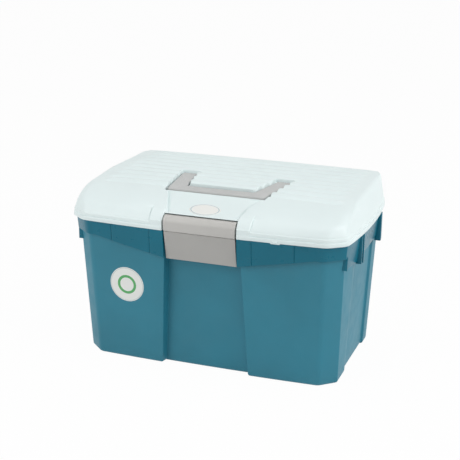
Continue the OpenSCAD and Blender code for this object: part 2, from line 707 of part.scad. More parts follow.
// Tray: an open box that hangs in the tub by a flange at each end, with guides for two dividers
module tray() {
    half = tray_half;
    color(mint) {
        difference() {
            translate([0, 0, tray_floor]) linear_extrude(tray_h)
                polygon(rounded_box(-half, -tray_front, half, tray_rear, tray_r));
            translate([0, 0, tray_floor + tray_wall]) linear_extrude(tray_h)
                polygon(rounded_box(tray_wall - half, tray_wall - tray_front, half - tray_wall,
                                    tray_rear - tray_wall, tray_r - tray_wall));
        }
        for (end = [0, 1]) mirror([end, 0, 0]) {
            translate([half - tray_wall / 2, -rail_y, tray_top - tray_wall])
                cube([tray_flange + tray_wall / 2, 2 * rail_y, tray_wall]);
            for (side = [-1, 1], y = [tray_wall / 2 - tray_front, tray_rear - tray_wall - divider_t])
                translate([divider_x + side * (divider_t + tray_wall + 2 * rest_gap) / 2 - tray_wall / 2, y,
                           tray_floor + tray_wall / 2])
                    cube([tray_wall, divider_t + tray_wall / 2, tray_h - 3 * tray_wall]);
        }
    }
}

// One divider, slid into the guides at the front and rear of the tray
module divider() {
    y0 = -tray_front + tray_wall + rest_gap;
    y1 = tray_rear - tray_wall - rest_gap;
    color(mint) translate([divider_x - divider_t / 2, y0, tray_floor + tray_wall])
        cube([divider_t, y1 - y0, tray_h - 2 * tray_wall]);
}
module divider_right() { divider(); }
module divider_left() { mirror([1, 0, 0]) divider(); }

// Plain oval label on the sloping front panel
module oval_label() {
    run = panel_low_y - panel_top_y;
    rise = panel_top - panel_low;
    color(paper) translate([0, -panel_top_y - oval_down * run, panel_top - oval_down * rise])
        rotate([atan2(rise, run), 0, 0]) linear_extrude(label_t)
            polygon([for (i = [1 : $fn]) [oval_w / 2 * cos(i * 360 / $fn), oval_h / 2 * sin(i * 360 / $fn)]]);
}

// Plain round label on the left front panel, set flat against the leaning wall
module round_label() {
    lean = atan2((top_d - base_d) / 2, lip_z);
    swing = atan2(2 * wall_front_bow * round_x, pow(wall_a(round_z), 2));
    y = wall_b(round_z) - wall_front_bow * pow(round_x / wall_a(round_z), 2);
    color(paper) translate([-round_x, -y, round_z]) rotate([0, 0, -swing]) rotate([90 + lean, 0, 0])
        translate([0, 0, -label_t / 2]) cylinder(d = round_d, h = label_t);
}

tub();
lid();
latch();
latch_pin();
handle();
handle_pin_left();
handle_pin_right();
hinge_pin_left();
hinge_pin_right();
tray();
divider_left();
divider_right();
oval_label();
round_label();
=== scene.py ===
import math

import bmesh
import bpy
import numpy as np
from mathutils import Matrix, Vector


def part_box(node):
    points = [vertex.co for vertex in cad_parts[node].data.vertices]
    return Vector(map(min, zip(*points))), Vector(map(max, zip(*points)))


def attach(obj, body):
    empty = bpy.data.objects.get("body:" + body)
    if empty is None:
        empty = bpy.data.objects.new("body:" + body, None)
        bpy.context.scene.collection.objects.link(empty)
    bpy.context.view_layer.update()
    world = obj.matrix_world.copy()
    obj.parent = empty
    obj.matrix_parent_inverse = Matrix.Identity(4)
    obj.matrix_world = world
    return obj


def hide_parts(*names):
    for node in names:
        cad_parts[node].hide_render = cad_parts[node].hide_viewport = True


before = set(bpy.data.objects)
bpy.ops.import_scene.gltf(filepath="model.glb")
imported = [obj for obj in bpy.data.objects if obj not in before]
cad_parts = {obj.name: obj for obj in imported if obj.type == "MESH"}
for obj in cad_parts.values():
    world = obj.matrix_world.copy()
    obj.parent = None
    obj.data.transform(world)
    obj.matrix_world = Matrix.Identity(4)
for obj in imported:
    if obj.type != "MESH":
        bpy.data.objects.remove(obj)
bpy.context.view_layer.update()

# Tub wall
# The body of the box is one injection moulding in teal polypropylene. Its walls lean out for draft, have a
# fine eroded texture and are pressed in at the front and both sides; the lip on top keys into the lid.
MM = 0.001
BASE_HALF = np.array([180.0, 106.5])
LIP_HALF = np.array([191.0, 123.5])
LIP_Z = 206.0
FLANGE_Z = 199.3
CHAMFER = 21.0
CHAMFER_FRONT_R = 11.0
CHAMFER_SIDE_R = 2.4
# What the bevel and its two edges lose for each millimetre that the wall is moved in
CHAMFER_LOSS = np.array([0.586, 0.8, 0.2])
CORNER_ROOM = (6.0, 2.0)
TOUCH = 0.001
WALL_SIDE_BOW = 6.0
WALL_FRONT_BOW = 5.0
FLANK = 2.5
RECESS_FOOT_X = 60.0
RECESS_TOP_X = 51.5
RECESS_KNEE_Z = 160.3
RECESS_FOOT_DEPTH = 9.5
RECESS_DEPTH = 14.0
SIDE_PANEL = (-44.0, 60.0)
SIDE_PANEL_DEPTH = 3.0
LIP_CUT_X = 71.5
LIP_CUT_RUN = 1.5
# The wall from its foot up the outside, then down the inside: height, and how far it is moved in
WALL_OUTSIDE = [(0.0, 3.2), (0.3, 2.1), (1.0, 1.15), (2.2, 0.4)]
WALL_OUTSIDE += [(z, 0.0) for z in (4.0, 20.0, 45.0, 70.0, 95.0, 120.0, 142.0, 160.3, 180.0)]
WALL_OUTSIDE += [(z, 0.0) for z in (199.3, 203.0, 205.3)]
WALL_OUTSIDE += [(205.8, 0.25), (206.0, 0.8)]
WALL_INSIDE = [(206.0, 2.2), (205.8, 2.75)]
WALL_INSIDE += [(z, 3.0) for z in (205.3, 203.0, 199.3, 180.0, 160.3, 110.0, 60.0, 14.0)]
WALL_INSIDE += [(8.0, 3.5), (5.0, 4.8), (3.5, 7.0), (3.0, 10.0)]
TEAL = (0.022, 0.205, 0.288)


def ease(t):
    """Smooth step from 0 to 1."""
    t = np.clip(t, 0.0, 1.0)
    return t * t * (3.0 - 2.0 * t)


def steps(*stops):
    """Positions along an edge, from pairs of a position and the number of steps after it."""
    line = []
    for (start, count), (end, _) in zip(stops, stops[1:]):
        line.extend(np.linspace(start, end, count, endpoint=False))
    line.append(stops[-1][0])
    return np.array(line)


def bow(x, y, half, side_bow, front_bow):
    """Moves a straight outline in towards its corners, so that all four sides bulge."""
    u = x / half[0]
    v = y / half[1]
    return x - side_bow * v * v * u ** 3, y - front_bow * u * u * v ** 3


def round_corner(r, count):
    """A quarter turn of a corner, as its leg and the offsets across and along."""
    turn = np.linspace(0.0, math.pi / 2, count + 1)[1:-1]
    return r, r * np.sin(turn), r * np.cos(turn)


def chamfer_corner(leg, front_r, side_r):
    """A flat chamfer with a soft edge towards the front and a crisp one towards the side."""
    turn = np.radians(np.linspace(0.0, 45.0, 6))
    lead, trail = front_r * math.tan(math.pi / 8), side_r * math.tan(math.pi / 8)
    across = [front_r * np.sin(turn) - lead, leg - side_r + side_r * np.cos(turn[::-1])]
    along = [leg - front_r + front_r * np.cos(turn), side_r * np.sin(turn[::-1]) - trail]
    return leg, np.concatenate(across), np.concatenate(along)


def plan_loop(half, corner, front_x, side_y):
    """Outline of a box seen from above, from its front left corner to the right and round."""
    a, b = half
    leg, across, along = corner
    xs = [front_x, a - leg + across, np.full(len(side_y), a), a - leg + across[::-1],
          front_x[::-1], leg - a - across, np.full(len(side_y), -a), leg - a - across[::-1]]
    ys = [np.full(len(front_x), -b), leg - b - along, side_y, b - leg + along[::-1],
          np.full(len(front_x), b), b - leg + along, side_y[::-1], leg - b - along[::-1]]
    return np.concatenate(xs), np.concatenate(ys)


def bridged(loops):
    """Faces between closed loops of as many points each."""
    faces = []
    for loop, following in zip(loops, loops[1:]):
        faces += zip(loop, np.roll(loop, -1), np.roll(following, -1), following)
    return [tuple(int(i) for i in face) for face in faces]


def skin(rings):
    """A closed skin over rings of as many points each, with a cap on the first and the last ring."""
    numbers = np.arange(len(rings) * len(rings[0])).reshape(len(rings), -1)
    caps = [tuple(numbers[0, ::-1].tolist()), tuple(numbers[-1].tolist())]
    return np.concatenate(rings), bridged(numbers) + caps


def joined(parts):
    """One list of points and faces from several."""
    points, faces, start = [], [], 0
    for part_points, part_faces in parts:
        points.append(np.asarray(part_points))
        faces.extend(tuple(i + start for i in face) for face in part_faces)
        start += len(part_points)
    return np.concatenate(points), faces


def placed(name, data):
    """A new object in the scene."""
    obj = bpy.data.objects.new(name, data)
    bpy.context.scene.collection.objects.link(obj)
    return obj


def piece(name, shape, material, sharp=38.0):
    """A mesh object from points in millimetres and their faces."""
    points, faces = shape
    mesh = bpy.data.meshes.new(name)
    mesh.from_pydata((np.asarray(points) * MM).tolist(), [], faces)
    work = bmesh.new()
    work.from_mesh(mesh)
    bmesh.ops.recalc_face_normals(work, faces=work.faces)
    work.to_mesh(mesh)
    work.free()
    mesh.polygons.foreach_set("use_smooth", [True] * len(mesh.polygons))
    mesh.set_sharp_from_angle(angle=math.radians(sharp))
    mesh.materials.append(material)
    return placed(name, mesh)


def blank(name):
    """A new material with its node tree and its shader."""
    material = bpy.data.materials.new(name)
    material.use_nodes = True
    return material, material.node_tree, material.node_tree.nodes["Principled BSDF"]


def feed(tree, target, *first, **named):
    """Values or links for a node's sockets: the first ones in order, others by name, with _ for a space."""
    sockets = [*zip(target.inputs, first)]
    sockets += [(target.inputs[name.replace("_", " ")], value) for name, value in named.items()]
    for socket, value in sockets:
        if isinstance(value, bpy.types.NodeSocket):
            tree.links.new(value, socket)
        else:
            socket.default_value = value
    return target


def node(tree, kind, *first, operation=None, **named):
    """A new shader node."""
    made = tree.nodes.new("ShaderNode" + kind)
    if operation:
        made.operation = operation
    return feed(tree, made, *first, **named)


def ramp(tree, value, stops, interpolation="LINEAR"):
    """A colour that follows a value over a ramp of stops."""
    made = node(tree, "ValToRGB", value)
    made.color_ramp.interpolation = interpolation
    elements = made.color_ramp.elements
    elements.remove(elements[1])
    elements[0].position, elements[0].color = stops[0]
    for position, colour in stops[1:]:
        elements.new(position).color = colour
    return made.outputs["Color"]


def moulded(name, colour, shade, roughness, grain, depth, specular=0.5):
    """Moulded plastic: flow shading in the colour, an uneven gloss and the grain of the mould."""
    material, tree, shader = blank(name)
    where = node(tree, "TexCoord").outputs["Object"]
    flow = node(tree, "TexNoise", where, Scale=9.0, Detail=4.0, Roughness=0.55)
    dark, light = [(*[min(1.0, c * share) for c in colour], 1.0) for share in (1.0 - shade, 1.0 + shade)]
    tint = ramp(tree, flow.outputs["Fac"], [(0.3, dark), (0.7, light)])
    handled = node(tree, "TexNoise", where, Scale=55.0, Detail=5.0)
    gloss = node(tree, "MapRange", handled.outputs["Fac"], From_Min=0.3, From_Max=0.7,
                 To_Min=roughness - 0.05, To_Max=roughness + 0.05)
    eroded = node(tree, "TexNoise", where, Scale=1.0 / (grain * MM), Detail=3.0)
    bump = node(tree, "Bump", Height=eroded.outputs["Fac"], Strength=0.35, Distance=depth * MM)
    feed(tree, shader, Base_Color=tint, Roughness=gloss.outputs["Result"], Normal=bump.outputs["Normal"],
         IOR=1.49, Specular_IOR_Level=specular)
    return material


def wall_half(z):
    """Half width and half depth of the tub's outside at a height."""
    return BASE_HALF + (LIP_HALF - BASE_HALF) * z / LIP_Z


def wall_ring(z, inset):
    """The tub's outline at a height, with the front recess and the side panels pressed in."""
    half = wall_half(z) - inset
    corner = chamfer_corner(*(np.array([CHAMFER, CHAMFER_FRONT_R, CHAMFER_SIDE_R]) - CHAMFER_LOSS * inset))
    rise = min(1.0, z / RECESS_KNEE_Z)
    notch = RECESS_FOOT_X + (RECESS_TOP_X - RECESS_FOOT_X) * rise + inset
    depth = RECESS_FOOT_DEPTH + (RECESS_DEPTH - RECESS_FOOT_DEPTH) * rise
    near, far = SIDE_PANEL[0] - inset, SIDE_PANEL[1] + inset
    a, b = half - CHAMFER - CORNER_ROOM
    cut_end = LIP_CUT_X + LIP_CUT_RUN
    front_x = steps((-a, 8), (-cut_end, 3), (-LIP_CUT_X, 2), (-notch - FLANK, 8), (-notch, 14), (notch, 8),
                    (notch + FLANK, 2), (LIP_CUT_X, 3), (cut_end, 8), (a, 0))
    side_y = steps((-b, 6), (near - FLANK, 8), (near, 10), (far, 8), (far + FLANK, 4), (b, 0))
    x0, y0 = plan_loop(half, corner, front_x, side_y)
    x, y = bow(x0, y0, half, WALL_SIDE_BOW * z / LIP_Z, WALL_FRONT_BOW)
    front = y0 < -half[1] + TOUCH
    side = np.abs(x0) > half[0] - TOUCH
    panel = ease((far + FLANK - y0) / FLANK) * ease((y0 - near + FLANK) / FLANK)
    y = y + front * depth * ease((notch + FLANK - np.abs(x0)) / FLANK)
    x = x - np.sign(x0) * side * SIDE_PANEL_DEPTH * panel
    heights = np.full(len(x), z)
    if z > FLANGE_Z:
        beside = front & (np.abs(x0) > notch + TOUCH)
        kept = np.where(beside, ease((np.abs(x0) - LIP_CUT_X) / LIP_CUT_RUN), 1.0)
        heights = FLANGE_Z + (z - FLANGE_Z) * kept
    return np.stack([x, y, heights], axis=1)


wall_plastic = moulded("teal_matte", TEAL, 0.08, 0.50, 0.9, 0.10)
tub_wall = piece("tub_wall", skin([wall_ring(z, inset) for z, inset in WALL_OUTSIDE + WALL_INSIDE]),
                 wall_plastic, 40.0)
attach(tub_wall, "tub")
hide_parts("tub")

# Tub apron
# The glossy skirt under the lid's rim is part of the same moulding: a flange off the wall, turned down to an
# edge that falls to a shallow V in front and runs level along the sides, with fine breaks in its face.
APRON_HALF = np.array([197.0, 131.5])
APRON_CHAMFER = (24.6, 20.0, 3.0)
APRON_STEP = np.array([159.0, 97.5])
APRON_SIDE_BOW = 10.0
APRON_FRONT_BOW = 8.0
APRON_T = 2.8
# Painted shade: a darker copy of the tub's teal that stands in for the shade on the down-facing apron
APRON_SHADED_TEAL = (0.006, 0.150, 0.222)
APRON_DRAFT = 3.5
APRON_DROP = 39.0
APRON_LOW_MID = 160.3
APRON_LOW_CORNER = 179.3
APRON_LOW_SIDE = 163.3
APRON_LOW_PANEL = 167.0
FLANGE_T = 4.0
BREAK_STEP = 0.4
BREAK_DEEP = 1.1
BREAK_X = [71.5, 130.3]
BREAK_HALF = 1.2
BREAK_ROOM = 2.5
FRONT_END = 160.0
SIDE_END = 105.0
STEP_HALF = 0.4
PANEL_EASE = 1.0
FLANGE_ROOT = 1.4
# The apron's top and its lower edge: depth in from its face, and height from the flange or from that edge
APRON_CREST = [(0.9, 0.0), (0.25, -0.25), (0.0, -0.8)]
APRON_HEM = [(0.0, 1.2), (0.2, 0.5), (0.6, 0.1), (1.2, 0.0), (1.8, 0.1), (2.4, 0.5), (APRON_T, 1.2)]


def apron_low(x0, y0):
    """Height of the apron's lower edge round its outline."""
    along = np.clip((np.abs(x0) - RECESS_TOP_X) / (APRON_STEP[0] - RECESS_TOP_X), 0.0, 1.0)
    low = APRON_LOW_MID + (APRON_LOW_CORNER - APRON_LOW_MID) * along
    near, far = SIDE_PANEL[0] - PANEL_EASE, SIDE_PANEL[1] + PANEL_EASE
    panel = ease((far - y0) / (2.0 * PANEL_EASE)) * ease((y0 - near) / (2.0 * PANEL_EASE))
    side = APRON_LOW_SIDE + (APRON_LOW_PANEL - APRON_LOW_SIDE) * panel
    return np.where(np.abs(y0) < APRON_STEP[1], side, low)


def apron_path():
    """Points round the apron's top edge, from one side of the recess to the other, and their inward ways."""
    right = [RECESS_TOP_X, *np.linspace(RECESS_TOP_X, BREAK_X[0] - BREAK_ROOM, 5)[1:]]
    for place, following in zip(BREAK_X, (BREAK_X[1] - BREAK_ROOM, FRONT_END)):
        right += [*(place + np.linspace(-BREAK_HALF, BREAK_HALF, 7))]
        right += [*np.linspace(place + BREAK_ROOM, following, 8)]
    front_x = np.concatenate([-np.array(right[::-1]), right])
    edge_y = APRON_STEP[1]
    near, far = SIDE_PANEL
    side_y = steps((-SIDE_END, 4), (-edge_y - STEP_HALF, 1), (STEP_HALF - edge_y, 8), (near - PANEL_EASE, 4),
                   (near + PANEL_EASE, 10), (far - PANEL_EASE, 4), (far + PANEL_EASE, 6),
                   (edge_y - STEP_HALF, 1), (edge_y + STEP_HALF, 4), (SIDE_END, 0))
    x0, y0 = plan_loop(APRON_HALF, chamfer_corner(*APRON_CHAMFER), front_x, side_y)
    start = int(np.argmin(np.abs(front_x - RECESS_TOP_X)))
    x0, y0 = np.roll(x0, -start), np.roll(y0, -start)
    x, y = bow(x0, y0, APRON_HALF, APRON_SIDE_BOW, APRON_FRONT_BOW)
    out = np.stack([np.roll(y, -1) - np.roll(y, 1), np.roll(x, 1) - np.roll(x, -1)], axis=1)
    out[0] = out[-1] = (0.0, -1.0)
    return x0, y0, np.stack([x, y], axis=1), -out / np.linalg.norm(out, axis=1)[:, None]


def wall_distance(point, inward):
    """How far in from a point of the apron the tub's wall stands."""
    half = wall_half(FLANGE_Z)
    reach = np.linspace(0.0, 16.0, 161)
    x = point[0] + inward[0] * reach
    y = point[1] + inward[1] * reach
    u, v = x, y
    for _ in range(3):
        du, dv = bow(u, v, half, WALL_SIDE_BOW, WALL_FRONT_BOW)
        u, v = u + x - du, v + y - dv
    past_side, past_front = np.abs(u) - half[0], np.abs(v) - half[1]
    outside = np.maximum(np.maximum(past_side, past_front), past_side + past_front + CHAMFER)
    return float(reach[np.argmax(outside <= 0.0)])


def apron_section(point, inward, low, x0, front):
    """One section of the apron: depth in from its outer face and height, carried to the point."""
    def lean(z):
        return APRON_DRAFT * (FLANGE_Z - z) / APRON_DROP
    back = wall_distance(point, inward) + FLANGE_ROOT
    broken = 0.0
    for place in BREAK_X if front else []:
        past = abs(x0) - place
        broken += BREAK_STEP * float(ease(past)) + BREAK_DEEP * max(0.0, 1.0 - abs(past))
    edge = lean(low) + broken
    under = FLANGE_Z - FLANGE_T
    inner = lean(under) + APRON_T + broken
    outline = [(back, FLANGE_Z), *[(d, FLANGE_Z + z) for d, z in APRON_CREST]]
    outline += [(lean(FLANGE_Z - 2.0) + broken, FLANGE_Z - 2.0), *[(edge + d, low + z) for d, z in APRON_HEM]]
    outline += [(inner, under - 1.0), (inner + 1.0, under), (back, under)]
    return np.array([[point[0] + inward[0] * d, point[1] + inward[1] * d, z] for d, z in outline])


apron_x0, apron_y0, apron_points, apron_in = apron_path()
apron_edge = apron_low(apron_x0, apron_y0)
apron_front = apron_y0 < -APRON_HALF[1] + TOUCH
# The apron's gloss is real; its darker teal is painted shade
shaded_gloss_plastic = moulded("teal_gloss_painted_shade", APRON_SHADED_TEAL, 0.08, 0.30, 1.6, 0.05, 0.25)
tub_apron = piece("tub_apron", skin([apron_section(*s) for s in zip(apron_points, apron_in, apron_edge,
                                                                      apron_x0, apron_front)]),
                  shaded_gloss_plastic, 30.0)
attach(tub_apron, "tub")

# Side ribs and end plates
# Upright ribs in pairs stiffen each side apron, and a small plate closes each end of it against the wall.
# They are moulded in one with the tub and keep the apron's gloss and its darker teal, which is painted shade.
RIB_T = 4.0
RIB_PAIRS = [(-44.0, -51.0), (60.0, 67.0)]
RIB_OUT = [198.9, 197.9]
RIB_ROOT = 190.0
RIB_LOW = 159.5
RIB_TOP = FLANGE_Z - 0.1
RIB_ROUND = 0.8
PLATE_Y = [96.4, 98.6]
PLATE_X = [182.5, 190.0]
PLATE_Z = [163.4, 182.0]
PLATE_ROUND = 0.4


def rounded_block(lo, hi, radius):
    """A box from corner to corner with all its edges rounded."""
    work = bmesh.new()
    bmesh.ops.create_cube(work, size=1.0)
    lo, hi = np.minimum(lo, hi), np.maximum(lo, hi)
    for vert in work.verts:
        vert.co = [float(lo[k] + (hi[k] - lo[k]) * (vert.co[k] + 0.5)) for k in range(3)]
    bmesh.ops.bevel(work, geom=work.edges[:], offset=radius, segments=3, affect="EDGES", profile=0.5)
    work.verts.index_update()
    shape = np.array([v.co[:] for v in work.verts]), [tuple(v.index for v in f.verts) for f in work.faces]
    work.free()
    return shape


rib_blocks = []
for side in (-1, 1):
    for pair in RIB_PAIRS:
        for y, out in zip(pair, RIB_OUT):
            rib_blocks.append(rounded_block((side * RIB_ROOT, y - RIB_T / 2, RIB_LOW),
                                            (side * out, y + RIB_T / 2, RIB_TOP), RIB_ROUND))
    for end in (-1, 1):
        rib_blocks.append(rounded_block((side * PLATE_X[0], end * PLATE_Y[0], PLATE_Z[0]),
                                        (side * PLATE_X[1], end * PLATE_Y[1], PLATE_Z[1]), PLATE_ROUND))
tub_ribs = piece("tub_ribs", joined(rib_blocks), shaded_gloss_plastic)
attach(tub_ribs, "tub")

# Catch ledge, tray rails and hinge knuckles of the tub
# The latch hooks under a ledge across the recess, the tray hangs on two rails inside the end walls, and four
# knuckles behind the rear apron hold the hinge pins. All are moulded in one with the tub.
HINGE_X = 110.0
HINGE_Y = 139.5
RIM_Z = 199.6
KNUCKLE_R = 4.49
LID_KNUCKLE_L = 22.0
TUB_KNUCKLE_L = 12.0
KNUCKLE_GAP = 0.3
TUB_WEB = [(123.5, 183.3), (HINGE_Y, RIM_Z - 4.2), (HINGE_Y, FLANGE_Z), (123.5, FLANGE_Z)]
LEDGE_X = 54.5
LEDGE_Y = [-122.9, -107.5]
RAIL_X = [174.4, 184.8]
RAIL_Y = 55.0
RAIL_Z = [171.5, 175.5]


def drawn(outline, x0, x1, chamfer=0.4):
    """An outline of Y and Z drawn out along X, with a small chamfer at each end."""
    outline = np.asarray(outline, dtype=float)
    middle = outline.mean(axis=0)
    away = outline - middle
    small = middle + away * (1.0 - chamfer / np.maximum(np.linalg.norm(away, axis=1), 1.0))[:, None]
    rings = []
    for x, ring in ((x0, small), (x0 + chamfer, outline), (x1 - chamfer, outline), (x1, small)):
        rings.append(np.column_stack([np.full(len(ring), x), ring]))
    return skin(rings)


def full_turn(count):
    """Angles once round."""
    return np.linspace(0.0, 2.0 * math.pi, count, endpoint=False)


def round_bar(r, x0, x1, y, z, chamfer=0.4):
    """A round bar along X."""
    turn = full_turn(48)
    return drawn(np.stack([y + r * np.cos(turn), z + r * np.sin(turn)], axis=1), x0, x1, chamfer)


def knuckle(middle, length, web):
    """A hinge knuckle with the web that carries it."""
    x0, x1 = middle - length / 2, middle + length / 2
    return [drawn(web, x0, x1), round_bar(KNUCKLE_R, x0, x1, HINGE_Y, RIM_Z)]


fittings = [rounded_block((-LEDGE_X, LEDGE_Y[0], FLANGE_Z - FLANGE_T), (LEDGE_X, LEDGE_Y[1], FLANGE_Z), 0.8)]
for side in (-1, 1):
    low, high = [(side * x, y, z) for x, y, z in zip(RAIL_X, (-RAIL_Y, RAIL_Y), RAIL_Z)]
    fittings.append(rounded_block(low, high, 0.9))
    for end in (-1, 1):
        middle = side * HINGE_X + end * (LID_KNUCKLE_L / 2 + KNUCKLE_GAP + TUB_KNUCKLE_L / 2)
        fittings += knuckle(middle, TUB_KNUCKLE_L, TUB_WEB)
tub_fittings = piece("tub_fittings", joined(fittings), shaded_gloss_plastic)
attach(tub_fittings, "tub")

# Hinge pins
# Each hinge turns on a short length of drawn steel wire, pressed through three knuckles.
HINGE_PIN_R = 2.0
WIRE_DARK = (0.42, 0.43, 0.44, 1.0)
WIRE_LIGHT = (0.66, 0.67, 0.68, 1.0)
HINGE_HALF = LID_KNUCKLE_L / 2 + KNUCKLE_GAP + TUB_KNUCKLE_L


def drawn_steel(name):
    """Drawn wire: bright steel with fine scratches along its length."""
    material, tree, shader = blank(name)
    where = node(tree, "TexCoord").outputs["Object"]
    stretch = node(tree, "Mapping", where, Scale=(40.0, 2600.0, 2600.0))
    scratches = node(tree, "TexNoise", stretch.outputs["Vector"], Scale=1.0, Detail=4.0).outputs["Fac"]
    tint = ramp(tree, scratches, [(0.0, WIRE_DARK), (1.0, WIRE_LIGHT)])
    gloss = node(tree, "MapRange", scratches, To_Min=0.22, To_Max=0.42)
    feed(tree, shader, Base_Color=tint, Metallic=1.0, Roughness=gloss.outputs["Result"])
    return material


wire = drawn_steel("drawn_wire")
for name, side in (("hinge_pin_left", -1), ("hinge_pin_right", 1)):
    middle = side * HINGE_X
    pin = piece("wire_" + name, round_bar(HINGE_PIN_R, middle - HINGE_HALF, middle + HINGE_HALF,
                                          HINGE_Y, RIM_Z, 0.3), wire)
    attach(pin, "tub")
    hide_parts(name)

# Round label
# A disc of film is stuck to the left front panel; it is plain, with a green ring and a fine line near its
# edge.
LABEL_X = -111.0
LABEL_Z = 111.0
LABEL_R = 25.0
LABEL_PROUD = 0.28
PAPER_WHITE = (0.86, 0.87, 0.84, 1.0)
RING_GREEN = (0.10, 0.42, 0.14, 1.0)
EDGE_GREY = (0.55, 0.63, 0.62, 1.0)
# The disc from the middle of its face round its edge to the back: share of its radius, and of its height
LABEL_PROFILE = [(0.04, 1.0), (0.7, 1.0), (0.9, 1.0), (0.985, 1.0), (0.995, 0.8), (1.0, 0.3), (0.995, -0.8),
                 (0.7, -0.8), (0.04, -0.8)]


def wall_front_y(x, z):
    """The tub's front face at a place beside the recess."""
    half_w, half_d = [low + (high - low) * z / LIP_Z for low, high in zip(BASE_HALF, LIP_HALF)]
    return WALL_FRONT_BOW * (x / half_w) ** 2 - half_d


def film(name, centre, rings, across=1.0):
    """Printed film: bands of colour by the distance from its centre, with a faint paper tooth."""
    material, tree, shader = blank(name)
    where = node(tree, "TexCoord").outputs["Object"]
    scale = (across, 1.0, 1.0)
    place = node(tree, "Mapping", where, Location=[-c * MM * s for c, s in zip(centre, scale)], Scale=scale)
    distance = node(tree, "VectorMath", place.outputs["Vector"], operation="LENGTH")
    share = node(tree, "MapRange", distance.outputs["Value"], From_Max=LABEL_R * MM)
    bands = ramp(tree, share.outputs["Result"], rings, "CONSTANT")
    tooth = node(tree, "TexNoise", where, Scale=1400.0).outputs["Fac"]
    gloss = node(tree, "MapRange", tooth, To_Min=0.30, To_Max=0.44)
    bump = node(tree, "Bump", Height=tooth, Strength=0.2, Distance=0.03 * MM)
    feed(tree, shader, Base_Color=bands, Roughness=gloss.outputs["Result"], Normal=bump.outputs["Normal"])
    return material


label_rings = []
around = full_turn(96)
for share, proud in LABEL_PROFILE:
    x = LABEL_X + LABEL_R * share * np.cos(around)
    z = LABEL_Z + LABEL_R * share * np.sin(around)
    label_rings.append(np.stack([x, wall_front_y(x, z) - LABEL_PROUD * proud, z], axis=1))
round_film = film("round_film", (LABEL_X, float(wall_front_y(LABEL_X, LABEL_Z)), LABEL_Z),
                  [(0.0, PAPER_WHITE), (0.40, RING_GREEN), (0.55, PAPER_WHITE), (0.93, EDGE_GREY),
                   (0.96, PAPER_WHITE)])
round_label = piece("round_film_disc", skin(label_rings), round_film)
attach(round_label, "tub")
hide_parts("round_label")

# Tray
# The lift-out insert is a thin moulding in the lid's pale mint, with rounded corners, a flange at each end
# that hangs on the tub's rails, and upright guides for two slide-in dividers.
TRAY_BOX = [np.array(corner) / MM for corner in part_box("tray")]
TRAY_HALF_X = 170.0
TRAY_R = 30.0
TRAY_WALL = 2.2
TRAY_FLOOR = float(TRAY_BOX[0][2])
TRAY_TOP = float(TRAY_BOX[1][2])
TRAY_FRONT = float(TRAY_BOX[0][1])
TRAY_REAR = float(TRAY_BOX[1][1])
MINT = (0.800, 0.900, 0.900)
GUIDE_X = [55.6, 60.4]
GUIDE_Y = [TRAY_FRONT + 1.1, TRAY_REAR - 4.2]
GUIDE_L = 3.1
GUIDE_DOWN = 5.5
# The tray's wall up its outside, over its rim and down its inside: height from the floor or rim, and inset
TRAY_FOOT = [(0.0, 3.2), (0.4, 1.7), (1.4, 0.6), (3.2, 0.0), (30.0, 0.0)]
TRAY_RIM = [(-0.6, 0.0), (-0.15, 0.25), (0.0, 0.7), (0.0, TRAY_WALL - 0.7), (-0.15, TRAY_WALL - 0.25),
            (-0.6, TRAY_WALL)]
TRAY_INSIDE = [(30.0, 0.0), (6.0, 0.0), (3.6, 0.7), (2.5, 2.2), (TRAY_WALL, 4.5)]


def tray_ring(z, inset):
    """The tray's outline at a height."""
    half = np.array([TRAY_HALF_X, (TRAY_REAR - TRAY_FRONT) / 2]) - inset
    r = TRAY_R - inset
    a, b = half - r
    x, y = plan_loop(half, round_corner(r, 14), steps((-a, 12), (a, 0)), steps((-b, 8), (b, 0)))
    return np.column_stack([x, y + (TRAY_FRONT + TRAY_REAR) / 2, np.full(len(x), z)])


tray_levels = [(TRAY_FLOOR + z, inset) for z, inset in TRAY_FOOT]
tray_levels += [(TRAY_TOP + z, inset) for z, inset in TRAY_RIM]
tray_levels += [(TRAY_FLOOR + z, TRAY_WALL + inset) for z, inset in TRAY_INSIDE]
tray_parts = [skin([tray_ring(z, inset) for z, inset in tray_levels])]
half_wall = TRAY_WALL / 2
for side in (-1, 1):
    tray_parts.append(rounded_block((side * (TRAY_HALF_X - half_wall), -RAIL_Y, TRAY_TOP - TRAY_WALL),
                                    (side * float(TRAY_BOX[1][0]), RAIL_Y, TRAY_TOP), 0.7))
    for x in GUIDE_X:
        for y in GUIDE_Y:
            tray_parts.append(rounded_block((side * x - half_wall, y, TRAY_FLOOR + half_wall),
                                            (side * x + half_wall, y + GUIDE_L, TRAY_TOP - GUIDE_DOWN), 0.5))
tray_plastic = moulded("mint_tray", MINT, 0.04, 0.42, 1.1, 0.06)
tray = piece("tray_moulding", joined(tray_parts), tray_plastic)
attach(tray, "tray")
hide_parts("tray")

# Dividers
# Each divider is a flat plate with rounded edges that slides down between the tray's guides.
for name in ("divider_left", "divider_right"):
    lo, hi = [np.array(corner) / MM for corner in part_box(name)]
    divider = piece(name + "_plate", rounded_block(lo, hi, 0.7), tray_plastic)
    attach(divider, "tray")
    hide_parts(name)

